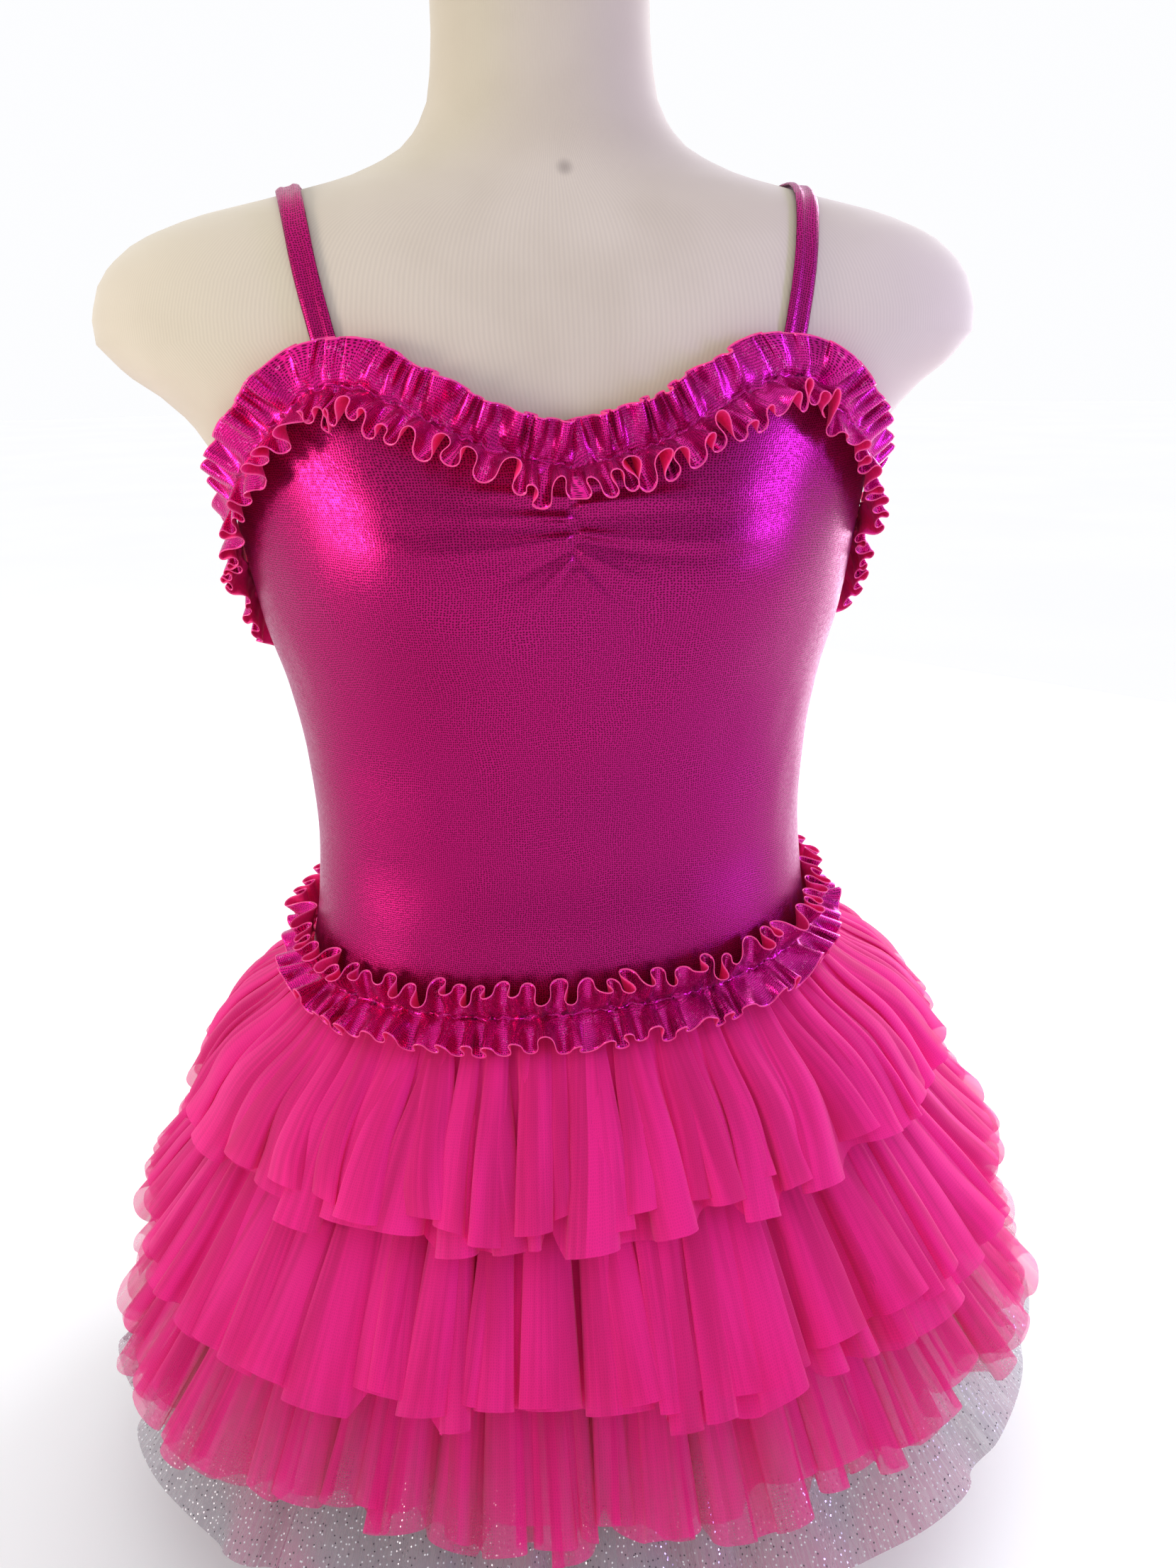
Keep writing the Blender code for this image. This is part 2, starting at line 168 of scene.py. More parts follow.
@dataclass(frozen=True)
class FormShape:
    """The display form's surface, and the lines that the dress is cut and sewn along."""

    squareness: float = 2.2
    bust_apart: float = 0.158
    bust_height: float = 0.548
    bust_rise: float = 0.016
    bust_width: float = 0.056
    bust_tall: float = 0.052
    seam: float = 0.330
    seam_dip: float = 0.010
    seam_tilt: float = 0.006
    sections: Tuple[Section, ...] = (
        Section(0.000, 0.147, 0.091, 0.104),
        Section(0.050, 0.153, 0.096, 0.110),
        Section(0.110, 0.158, 0.101, 0.115),
        Section(0.170, 0.159, 0.104, 0.118),
        Section(0.230, 0.156, 0.105, 0.116),
        Section(0.280, 0.150, 0.103, 0.111),
        Section(0.320, 0.1425, 0.100, 0.103),
        Section(0.360, 0.135, 0.095, 0.095),
        Section(0.400, 0.132, 0.090, 0.089),
        Section(0.440, 0.134, 0.090, 0.088),
        Section(0.480, 0.140, 0.093, 0.090),
        Section(0.515, 0.149, 0.097, 0.093),
        Section(0.545, 0.154, 0.100, 0.095),
        Section(0.575, 0.159, 0.101, 0.096),
        Section(0.600, 0.169, 0.098, 0.096),
        Section(0.618, 0.183, 0.094, 0.096),
        Section(0.634, 0.204, 0.089, 0.095),
        Section(0.650, 0.216, 0.084, 0.093),
        Section(0.670, 0.2115, 0.077, 0.090),
        Section(0.687, 0.196, 0.070, 0.086),
        Section(0.699, 0.168, 0.064, 0.082),
        Section(0.708, 0.129, 0.059, 0.079),
        Section(0.718, 0.090, 0.054, 0.075),
        Section(0.732, 0.064, 0.049, 0.070),
        Section(0.752, 0.053, 0.044, 0.065),
        Section(0.785, 0.050, 0.041, 0.061),
        Section(0.826, 0.050, 0.043, 0.059),
        Section(0.832, 0.046, 0.039, 0.055),
    )
    neck_edge: Tuple[EdgePoint, ...] = (
        EdgePoint(0, 0.592),
        EdgePoint(9, 0.598),
        EdgePoint(15, 0.604),
        EdgePoint(20, 0.613),
        EdgePoint(24.5, 0.621),
        EdgePoint(29, 0.627),
        EdgePoint(33, 0.626),
        EdgePoint(38, 0.619),
        EdgePoint(43, 0.612),
        EdgePoint(51, 0.601),
        EdgePoint(60, 0.589),
        EdgePoint(70, 0.574),
        EdgePoint(79, 0.556),
        EdgePoint(87, 0.536),
        EdgePoint(97, 0.518),
        EdgePoint(112, 0.507),
        EdgePoint(130, 0.501),
        EdgePoint(180, 0.495),
    )

    def reach(self, bearing: np.ndarray, height: np.ndarray) -> Tuple[np.ndarray, ...]:
        """Reads how far the form reaches from its middle.

        Args:
            bearing: The direction, from the front.
            height: The height.

        Returns:
            The reach, and the section's own half width and half depth there.
        """
        heights = [s.height for s in self.sections]
        half_width = smooth_table(height, heights, [s.half_width for s in self.sections])
        front = smooth_table(height, heights, [s.front for s in self.sections])
        back = smooth_table(height, heights, [s.back for s in self.sections])
        depth = np.where(np.cos(bearing) > 0, front, back)
        n = self.squareness
        across = np.abs(np.sin(bearing)) / half_width
        along = np.abs(np.cos(bearing)) / depth
        return (across**n + along**n) ** (-1 / n), half_width, depth

    def skin(self, turn: np.ndarray, height: np.ndarray) -> np.ndarray:
        """Finds points on the form's surface.

        Args:
            turn: Their turns from the centre front.
            height: Their heights.

        Returns:
            The points.
        """
        turn, height = np.broadcast_arrays(np.asarray(turn, float), np.asarray(height, float))
        _, half_width, depth = self.reach(turn, height)
        bearing = np.arctan2(half_width * np.sin(turn), depth * np.cos(turn))
        reach, _, _ = self.reach(bearing, height)
        x = reach * np.sin(bearing)
        y = -reach * np.cos(bearing)
        rise = np.zeros_like(x)
        for side in (-1, 1):
            away = ((x - side * self.bust_apart / 2) / self.bust_width) ** 2
            away = away + ((height - self.bust_height) / self.bust_tall) ** 2
            rise = rise + np.exp(-away)
        y = y - self.bust_rise * rise * np.clip(np.cos(turn), 0, 1)
        return np.stack([x, y, height], axis=-1)

    def slopes(self, turn: np.ndarray, height: np.ndarray) -> Tuple[np.ndarray, np.ndarray]:
        """Finds how the surface moves with the turn and with the height.

        Args:
            turn: Turns from the centre front.
            height: Heights.

        Returns:
            The move for each radian of turn, and for each metre of height.
        """
        step = 1e-4
        by_turn = (self.skin(turn + step, height) - self.skin(turn - step, height)) / (2 * step)
        by_height = (self.skin(turn, height + step) - self.skin(turn, height - step)) / (2 * step)
        return by_turn, by_height

    def outward(self, turn: np.ndarray, height: np.ndarray) -> np.ndarray:
        """The surface's outward normals."""
        by_turn, by_height = self.slopes(turn, height)
        return unit(np.cross(by_turn, by_height))

    def over(self, turn: np.ndarray, height: np.ndarray, lift: np.ndarray) -> np.ndarray:
        """Points at a given distance outside the surface."""
        lift = np.broadcast_to(lift, np.broadcast(turn, height).shape)
        return self.skin(turn, height) + self.outward(turn, height) * lift[..., None]

    def gather_height(self, turn: np.ndarray) -> np.ndarray:
        """Finds the height of the neck ruffle's gathering line.

        Args:
            turn: Turns from the centre front.

        Returns:
            The line's height at each turn.
        """
        degrees = np.abs((np.degrees(turn) + 180) % 360 - 180)
        keys = [p.degrees for p in self.neck_edge]
        return smooth_table(degrees, keys, [p.height for p in self.neck_edge])

    def seam_height(self, turn: np.ndarray) -> np.ndarray:
        """The height of the skirt seam, which dips in front and sits higher at one side."""
        return self.seam - self.seam_dip * np.cos(turn) + self.seam_tilt * np.sin(turn)


class NodeBoard:
    """A material's node tree, with short calls that add and join its nodes."""

    COLOUR_MIX_INPUTS = (0, 6, 7)
    COLOUR_MIX_OUTPUT = 2

    def __init__(self, name: str) -> None:
        """Starts an empty material of that name."""
        self.material = bpy.data.materials.new(name)
        self.material.use_nodes = True
        self.tree = self.material.node_tree
        self.tree.nodes.clear()
        self.out = self.add("ShaderNodeOutputMaterial")

    def add(
        self, kind: str, values: Optional[Dict[str, object]] = None, **settings: object
    ) -> bpy.types.Node:
        """Adds a node.

        Args:
            kind: Its Blender type.
            values: Its inputs by name, each a plain value or the socket that feeds it.
            **settings: Its own properties.

        Returns:
            The node.
        """
        node = self.tree.nodes.new(kind)
        for key, value in settings.items():
            setattr(node, key, value)
        for key, value in (values or {}).items():
            self.feed(node.inputs[key], value)
        return node

    def feed(self, socket: bpy.types.NodeSocket, value: object) -> None:
        """Sets an input.

        Args:
            socket: The input.
            value: A plain value, or the socket that feeds it.
        """
        if isinstance(value, bpy.types.NodeSocket):
            self.tree.links.new(value, socket)
        elif isinstance(value, tuple) and len(value) == 3 and socket.type == "RGBA":
            socket.default_value = (*value, 1.0)
        else:
            socket.default_value = value

    def blend(self, share: object, first: object, second: object) -> bpy.types.NodeSocket:
        """Mixes two colours.

        Args:
            share: How much of the second colour shows, from 0 to 1.
            first: The colour at 0.
            second: The colour at 1.

        Returns:
            The mixed colour.
        """
        node = self.add("ShaderNodeMix", data_type="RGBA")
        for index, value in zip(self.COLOUR_MIX_INPUTS, (share, first, second)):
            self.feed(node.inputs[index], value)
        return node.outputs[self.COLOUR_MIX_OUTPUT]

    def sum(self, operation: str, first: object, second: object = 0.0) -> bpy.types.NodeSocket:
        """Works out one sum.

        Args:
            operation: The Math node's operation.
            first: Its first value.
            second: Its second value.

        Returns:
            The result.
        """
        node = self.add("ShaderNodeMath", operation=operation)
        self.feed(node.inputs[0], first)
        self.feed(node.inputs[1], second)
        return node.outputs[0]

    def times(self, value: object, factor: object) -> bpy.types.NodeSocket:
        """A value times another."""
        return self.sum("MULTIPLY", value, factor)

    def vector(self, operation: str, *values: object) -> bpy.types.Node:
        """Adds a Vector Math node.

        Args:
            operation: Its operation.
            *values: Its inputs in order.

        Returns:
            The node.
        """
        node = self.add("ShaderNodeVectorMath", operation=operation)
        for socket, value in zip(node.inputs, values):
            self.feed(socket, value)
        return node

    def span(
        self, value: object, low: float, high: float, start: float = 0.0, end: float = 1.0
    ) -> bpy.types.NodeSocket:
        """Carries a value smoothly from one range to another.

        Args:
            value: The value.
            low: Where its own range starts.
            high: Where its own range ends.
            start: What the low end becomes.
            end: What the high end becomes.

        Returns:
            The carried value.
        """
        node = self.add(
            "ShaderNodeMapRange",
            {"Value": value, "From Min": low, "From Max": high, "To Min": start, "To Max": end},
            interpolation_type="SMOOTHSTEP",
        )
        return node.outputs["Result"]

    def cloth_place(self) -> bpy.types.NodeSocket:
        """The place on the piece's own flat cloth, in metres."""
        return self.add("ShaderNodeUVMap", uv_map="cloth").outputs["UV"]

    def object_place(self) -> bpy.types.NodeSocket:
        """The place in the object's frame."""
        return self.add("ShaderNodeTexCoord").outputs["Object"]

    def part(self, place: object, axis: str) -> bpy.types.NodeSocket:
        """One coordinate of a place."""
        return self.add("ShaderNodeSeparateXYZ", {"Vector": place}).outputs[axis]

    def raw_edge(self) -> bpy.types.NodeSocket:
        """How far the colour of the raw edge shows, from 0 to 1."""
        near = self.add("ShaderNodeAttribute", attribute_name="cut_edge").outputs["Fac"]
        return self.span(near, 0.45, 0.62)

    def stretch(self, place: bpy.types.NodeSocket, across: float, along: float) -> bpy.types.NodeSocket:
        """A place on the cloth, scaled differently across it and along it."""
        node = self.add("ShaderNodeMapping", {"Vector": place, "Scale": (across, along, 1.0)})
        return node.outputs["Vector"]

    def noise(self, place: object, scale: float = 1.0, detail: float = 2.0) -> bpy.types.Node:
        """A noise texture at a place."""
        return self.add("ShaderNodeTexNoise", {"Vector": place, "Scale": scale, "Detail": detail})

    def grains(
        self, place: object, pitch: float, randomness: float, **settings: object
    ) -> bpy.types.Node:
        """Strews cells over the cloth.

        Args:
            place: The place on the cloth.
            pitch: How far apart they lie.
            randomness: How unevenly, from 0 to 1.
            **settings: More of the Voronoi node's properties.

        Returns:
            The Voronoi node.
        """
        values = {"Vector": place, "Scale": 1 / pitch, "Randomness": randomness}
        return self.add("ShaderNodeTexVoronoi", values, voronoi_dimensions="2D", **settings)

    def relief(self, height: object, strength: float, depth: float) -> bpy.types.NodeSocket:
        """A surface normal that a height roughens."""
        values = {"Strength": strength, "Distance": depth, "Height": height}
        return self.add("ShaderNodeBump", values).outputs["Normal"]

    def principled(self, values: Dict[str, object]) -> bpy.types.Node:
        """A Principled shader with those inputs."""
        return self.add("ShaderNodeBsdfPrincipled", values)

    def layered(self, share: object, under: bpy.types.Node, over: bpy.types.Node) -> bpy.types.Node:
        """Mixes two shaders.

        Args:
            share: How far the second one covers the first, from 0 to 1.
            under: The first shader.
            over: The second shader.

        Returns:
            The mixed shader.
        """
        node = self.add("ShaderNodeMixShader", {"Fac": share})
        self.tree.links.new(under.outputs[0], node.inputs[1])
        self.tree.links.new(over.outputs[0], node.inputs[2])
        return node

    def see_through(self, cover: object, shader: bpy.types.Node) -> bpy.types.Node:
        """A shader that covers only a share of what lies behind it."""
        return self.layered(cover, self.add("ShaderNodeBsdfTransparent"), shader)

    def finish(self, shader: bpy.types.Node) -> bpy.types.Material:
        """Joins the shader to the output and gives the material."""
        self.tree.links.new(shader.outputs[0], self.out.inputs["Surface"])
        return self.material


def darker(colour: Colour, share: float) -> Colour:
    """A colour at a share of its brightness."""
    return tuple(share * c for c in colour)


@dataclass(frozen=True)
class FoilCloth:
    """Stretch cloth printed with tiny foil dots in rows that swirl."""

    name: str = "foil_cloth"
    ground: Colour = (0.45, 0.004, 0.135)
    # painted light: the purple that the ground takes on towards +X, for the cool window light there
    window_tint: Colour = (0.39, 0.007, 0.165)
    dot: Colour = (0.070, 0.000, 0.020)
    # painted glints: the bright colour that some of the foil cells take
    painted_glint: Colour = (1.0, 0.20, 0.62)
    edge: Colour = (0.92, 0.04, 0.28)
    sheen: Colour = (0.9, 0.35, 1.0)
    window_tint_from: float = -0.05
    window_tint_to: float = 0.17
    drift: float = 0.10
    dot_pitch: float = 1.1 * MM
    dot_core: float = 0.22
    dot_rim: float = 0.40
    dot_cover: float = 0.92
    swirl: float = 9 * MM
    painted_glint_chance: float = 0.86
    relief_depth: float = 0.25 * MM
    metallic: float = 0.86
    roughness: float = 0.36
    # how much of the painted glint colour the chosen foil cells get
    glitter: float = 0.0

    def dots(self, board: NodeBoard, place: bpy.types.NodeSocket) -> bpy.types.Node:
        """Lays the foil dots in rows that swirl over the cloth.

        Args:
            board: The material's nodes.
            place: The place on the cloth.

        Returns:
            The node that gives the distance to a dot and the dot's own chance.
        """
        centred = board.vector("SUBTRACT", board.noise(place, 26.0, 1.0).outputs["Color"], (0.5, 0.5, 0.5))
        swirled = board.vector("MULTIPLY_ADD", centred.outputs[0], (self.swirl, self.swirl, 0.0), place)
        return board.grains(swirled.outputs[0], self.dot_pitch, 0.35)

    def colour(
        self, board: NodeBoard, place: bpy.types.NodeSocket, dots: bpy.types.Node
    ) -> bpy.types.NodeSocket:
        """Prints the dots on a ground that turns purple towards +X, a tint painted for the cool window light
        on that side and the foil's shimmer.

        Args:
            board: The material's nodes.
            place: The place on the cloth.
            dots: The foil dots.

        Returns:
            The printed cloth's colour.
        """
        drift = board.times(board.noise(place, 9.0).outputs["Fac"], self.drift)
        across = board.sum("ADD", board.part(board.object_place(), "X"), drift)
        # painted light: the ground is tinted purple towards +X, where the cool window light falls
        ground = board.blend(board.span(across, self.window_tint_from, self.window_tint_to), self.ground, self.window_tint)
        # painted glints: cells above a chance take the bright glint colour, by the share in glitter
        painted_glint = board.sum("GREATER_THAN", dots.outputs["Color"], self.painted_glint_chance)
        lit = board.blend(board.times(painted_glint, self.glitter), ground, self.painted_glint)
        dark = board.span(dots.outputs["Distance"], self.dot_core, self.dot_rim, 1.0, 0.0)
        return board.blend(board.times(dark, self.dot_cover), lit, self.dot)

    def material(self) -> bpy.types.Material:
        """The cloth's face."""
        board = NodeBoard(self.name)
        place = board.cloth_place()
        dots = self.dots(board, place)
        edge = board.raw_edge()
        fine = board.noise(place, 420.0).outputs["Fac"]
        height = board.sum("ADD", board.times(dots.outputs["Distance"], 0.7), fine)
        smooth, rough = self.roughness - 0.08, self.roughness + 0.10
        shader = board.principled(
            {
                "Base Color": board.blend(edge, self.colour(board, place, dots), self.edge),
                "Metallic": board.times(board.sum("SUBTRACT", 1.0, edge), self.metallic),
                "Roughness": board.span(dots.outputs["Color"], 0.0, 1.0, smooth, rough),
                "Normal": board.relief(height, 0.38, self.relief_depth),
                "Sheen Weight": 0.05,
                "Sheen Roughness": 0.35,
                "Sheen Tint": self.sheen,
            }
        )
        return board.finish(shader)


@dataclass(frozen=True)
class PlainReverse:
    """The unprinted back of the stretch cloth, a plain hot pink knit."""

    name: str = "plain_reverse"
    colour: Colour = (0.97, 0.003, 0.21)
    edge: Colour = (0.95, 0.06, 0.28)
    shade: float = 0.82

    def material(self) -> bpy.types.Material:
        """The cloth's back."""
        board = NodeBoard(self.name)
        knit = board.noise(board.stretch(board.cloth_place(), 1600.0, 500.0), detail=1.0).outputs["Fac"]
        plain = board.blend(board.span(knit, 0.3, 0.7), darker(self.colour, self.shade), self.colour)
        shader = board.principled(
            {
                "Base Color": board.blend(board.raw_edge(), plain, self.edge),
                "Roughness": 0.75,
                "Normal": board.relief(knit, 0.2, 0.2 * MM),
                "Sheen Weight": 0.04,
                "Sheen Roughness": 0.5,
            }
        )
        return board.finish(shader)


@dataclass(frozen=True)
class CutEdge:
    """The raw edge of the stretch cloth, where its pale inside shows."""

    name: str = "cut_edge"
    colour: Colour = (0.95, 0.07, 0.30)
    shade: float = 0.85

    def material(self) -> bpy.types.Material:
        """The edge."""
        board = NodeBoard(self.name)
        fray = board.noise(board.object_place(), 1800.0, 1.0).outputs["Fac"]
        colour = board.blend(board.span(fray, 0.35, 0.65), darker(self.colour, self.shade), self.colour)
        return board.finish(board.principled({"Base Color": colour, "Roughness": 0.8}))


@dataclass(frozen=True)
class SoftTulle:
    """Soft hot pink tulle, see-through in one layer and matt in several."""

    name: str = "soft_tulle"
    # painted light and shade: a lit and a shaded copy of the pink
    lit: Colour = (0.96, 0.005, 0.29)
    deep: Colour = (0.78, 0.002, 0.21)
    cover_low: float = 0.76
    cover_high: float = 0.95
    thin_from: float = 0.125
    thin_to: float = 0.192
    thin_by: float = 0.26
    mesh_pitch: float = 1.3 * MM
    hole: float = 0.10
    glow: float = 0.22

    def material(self) -> bpy.types.Material:
        """The tulle."""
        board = NodeBoard(self.name)
        place = board.cloth_place()
        streak = board.noise(board.stretch(place, 260.0, 9.0)).outputs["Fac"]
        broad = board.noise(board.stretch(place, 40.0, 6.0)).outputs["Fac"]
        mixed = board.sum("ADD", board.times(streak, 0.3), board.times(broad, 0.7))
        net = board.grains(place, self.mesh_pitch, 0.55, feature="DISTANCE_TO_EDGE")
        holes = board.span(net.outputs["Distance"], 0.06, 0.30, 0.0, self.hole)
        fall = board.part(place, "Y")
        thin = board.span(fall, -self.thin_to, -self.thin_from, self.thin_by, 0.0)
        cover = board.span(mixed, 0.38, 0.62, self.cover_low, self.cover_high)
        cover = board.sum("SUBTRACT", board.sum("SUBTRACT", cover, holes), thin)
        # painted light and shade: the streaks blend the shaded and the lit pink, for brighter and darker
        # folds
        colour = board.blend(board.span(mixed, 0.36, 0.64), self.deep, self.lit)
        cloth = board.principled(
            {"Base Color": colour, "Roughness": 0.85, "Sheen Weight": 0.12, "Sheen Roughness": 0.6}
        )
        glow = board.add("ShaderNodeBsdfTranslucent", {"Color": colour})
        return board.finish(board.see_through(cover, board.layered(self.glow, cloth, glow)))


@dataclass(frozen=True)
class GlitterNet:
    """Stiff greyish white net with silver glitter and dark specks."""

    name: str = "glitter_net_cloth"
    thread: Colour = (0.27, 0.23, 0.27)
    blush: Colour = (0.42, 0.13, 0.24)
    silver: Colour = (0.95, 0.93, 0.97)
    shadow: Colour = (0.05, 0.03, 0.05)
    speck_pitch: float = 3.2 * MM
    silver_above: float = 0.42
    shadow_below: float = 0.36
    cover_low: float = 0.46
    cover_high: float = 0.66

    def material(self) -> bpy.types.Material:
        """The net."""
        board = NodeBoard(self.name)
        place = board.cloth_place()
        ribs = board.noise(board.stretch(place, 700.0, 60.0)).outputs["Fac"]
        tint = board.noise(place, 12.0).outputs["Fac"]
        thread = board.blend(board.span(tint, 0.40, 0.66), self.thread, self.blush)
        specks = board.grains(place, self.speck_pitch, 1.0)
        here = board.span(specks.outputs["Distance"], 0.10, 0.17, 1.0, 0.0)
        silver = board.times(here, board.sum("GREATER_THAN", specks.outputs["Color"], self.silver_above))
        dark = board.times(here, board.sum("LESS_THAN", specks.outputs["Color"], self.shadow_below))
        shine = board.principled(
            {
                "Base Color": board.blend(silver, board.blend(dark, thread, self.shadow), self.silver),
                "Metallic": board.times(silver, 0.9),
                "Roughness": board.sum("SUBTRACT", 0.62, board.times(silver, 0.40)),
            }
        )
        cover = board.span(ribs, 0.30, 0.70, self.cover_low, self.cover_high)
        cover = board.sum("MAXIMUM", cover, board.sum("MAXIMUM", silver, dark))
        return board.finish(board.see_through(cover, shine))


@dataclass(frozen=True)
class Smudge:
    """A faint mark on the form's cover."""

    place: Tuple[float, float, float]
    radius: float
    strength: float


@dataclass(frozen=True)
class KnitJersey:
    """The form's ivory knitted cover, with fine upright ribs and a few faint marks."""

    name: str = "ivory_jersey"
    lit: Colour = (0.60, 0.545, 0.430)
    deep: Colour = (0.52, 0.465, 0.355)
    # painted shade: the colour that the rib grooves are darkened towards
    groove_shadow: Colour = (0.36, 0.32, 0.25)
    mark: Colour = (0.16, 0.13, 0.11)
    groove_shade: float = 0.16
    rib_pitch: float = 1.5 * MM
    relief_depth: float = 0.25 * MM
    smudges: Tuple[Smudge, ...] = (
        Smudge((0.004, -0.057, 0.716), 0.0055, 0.55),
        Smudge((-0.143, -0.075, 0.690), 0.0045, 0.18),
        Smudge((-0.178, -0.060, 0.640), 0.0060, 0.25),
    )

    def material(self) -> bpy.types.Material:
        """The cover."""
        board = NodeBoard(self.name)
        place, cloth = board.object_place(), board.cloth_place()
        mottle = board.noise(place, 9.0, 3.0).outputs["Fac"]
        ribs = board.add(
            "ShaderNodeTexWave",
            {"Vector": cloth, "Scale": 1 / (math.pi * self.rib_pitch), "Distortion": 0.6, "Detail": 1.0},
            wave_type="BANDS",
            bands_direction="X",
        ).outputs["Fac"]
        fuzz = board.noise(board.stretch(cloth, 900.0, 300.0)).outputs["Fac"]
        colour = board.blend(board.span(mottle, 0.35, 0.65), self.deep, self.lit)
        # painted shade: the ribs' grooves are darkened towards the shadow colour
        colour = board.blend(board.times(ribs, self.groove_shade), colour, self.groove_shadow)
        for smudge in self.smudges:
            away = board.vector("DISTANCE", place, smudge.place).outputs["Value"]
            mark = board.span(away, 0.2 * smudge.radius, smudge.radius, smudge.strength, 0.0)
            colour = board.blend(mark, colour, self.mark)
        height = board.sum("ADD", board.times(ribs, 0.6), fuzz)
        shader = board.principled(
            {
                "Base Color": colour,
                "Roughness": 0.9,
                "Normal": board.relief(height, 0.16, self.relief_depth),
                "Sheen Weight": 0.3,
                "Sheen Roughness": 0.45,
            }
        )
        return board.finish(shader)


@dataclass(frozen=True)
class FloorPaint:
    """The studio's plain white floor."""

    name: str = "floor_paint"
    colour: Colour = (0.95, 0.95, 0.955)
    shade: float = 0.985

    def material(self) -> bpy.types.Material:
        """The floor."""
        board = NodeBoard(self.name)
        drift = board.noise(board.object_place(), 1.5).outputs["Fac"]
        colour = board.blend(board.span(drift, 0.3, 0.7), darker(self.colour, self.shade), self.colour)
        return board.finish(board.principled({"Base Color": colour, "Roughness": 0.9}))


class Held(Enum):
    """How a piece of cloth is held."""

    GATHERED = "gathered"
    STRETCHED = "stretched"


class ClothSheet:
    """A sheet of cloth made from rows and columns of points, its bottom row first."""

    def __init__(self, name: str, points: np.ndarray, cloth: np.ndarray, closed: bool) -> None:
        """Builds the mesh.

        Args:
            name: The piece's name.
            points: Rows by columns of places.
            cloth: Rows by columns of places on the flat cloth, in metres, with one more column
                than points where the sheet closes on itself.
            closed: Whether the last column joins the first.
        """
        rows, columns = points.shape[:2]
        spans = columns if closed else columns - 1
        row, column = np.meshgrid(np.arange(rows - 1), np.arange(spans), indexing="ij")
        after = (column + 1) % columns
        corners = [row * columns + column, row * columns + after]
        corners += [(row + 1) * columns + after, (row + 1) * columns + column]
        faces = np.stack(corners, axis=-1).reshape(-1, 4)
        mesh = bpy.data.meshes.new(name)
        mesh.vertices.add(rows * columns)
        mesh.vertices.foreach_set("co", points.reshape(-1).astype(np.float32))
        mesh.loops.add(faces.size)
        mesh.loops.foreach_set("vertex_index", faces.reshape(-1).astype(np.int32))
        mesh.polygons.add(len(faces))
        mesh.polygons.foreach_set("loop_start", (np.arange(len(faces)) * 4).astype(np.int32))
        mesh.update(calc_edges=True)
        layer = mesh.uv_layers.new(name="cloth")
        places = [cloth[row, column], cloth[row, column + 1]]
        places += [cloth[row + 1, column + 1], cloth[row + 1, column]]
        flat = np.stack(places, axis=2).reshape(-1)
        layer.data.foreach_set("uv", flat.astype(np.float32))
        mesh.validate()
        mesh.shade_smooth()
        self.piece = bpy.data.objects.new(name, mesh)
        bpy.context.scene.collection.objects.link(self.piece)

    def mark_edges(self, share: np.ndarray) -> "ClothSheet":
        """Stores how near each vertex lies to a raw edge.

        Args:
            share: How near, from 0 to 1, row by row.

        Returns:
            The sheet.
        """
        layer = self.piece.data.attributes.new("cut_edge", "FLOAT", "POINT")
        layer.data.foreach_set("value", share.reshape(-1).astype(np.float32))
        return self

    def wall(self, thickness: float) -> "ClothSheet":
        """Gives the sheet a wall that grows inwards, its back and rim in the next two materials.

        Args:
            thickness: The wall's thickness.

        Returns:
            The sheet.
        """
        solid = self.piece.modifiers.new("wall", "SOLIDIFY")
        solid.thickness = thickness
        solid.offset = -1
        solid.material_offset = 1
        solid.material_offset_rim = 2
        return self

    def dress(self, *finishes: bpy.types.Material) -> "ClothSheet":
        """Puts the finishes on the sheet.

        Args:
            *finishes: The materials in order: the face, and behind a wall its back and rim.

        Returns:
            The sheet.
        """
        for finish in finishes:
            self.piece.data.materials.append(finish)
        return self

    def area(self) -> float:
        """The sheet's area in square metres."""
        faces = np.zeros(len(self.piece.data.polygons), np.float32)
        self.piece.data.polygons.foreach_get("area", faces)
        return float(faces.sum())

    def declare(
        self, flat: Tuple[float, float], held: Held, rests_on: Sequence[str], node: str, slot: str,
        area: Optional[float] = None,
    ) -> None:
        """Hangs the sheet on the body, hides the solid that it stands for and logs its name, cut and how it
        is held.

        Args:
            flat: Width and length of the cut.
            held: How it is held.
            rests_on: What it lies on or hangs from. Not used.
            node: The solid that it stands for.
            slot: The record's material slot. Not used.
            area: The cut's area where it isn't a rectangle. Not used.
        """
        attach(self.piece, BODY)
        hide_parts(node)
        log.info("%s: %.3f by %.3f m, %s", self.piece.name, flat[0], flat[1], held.value)


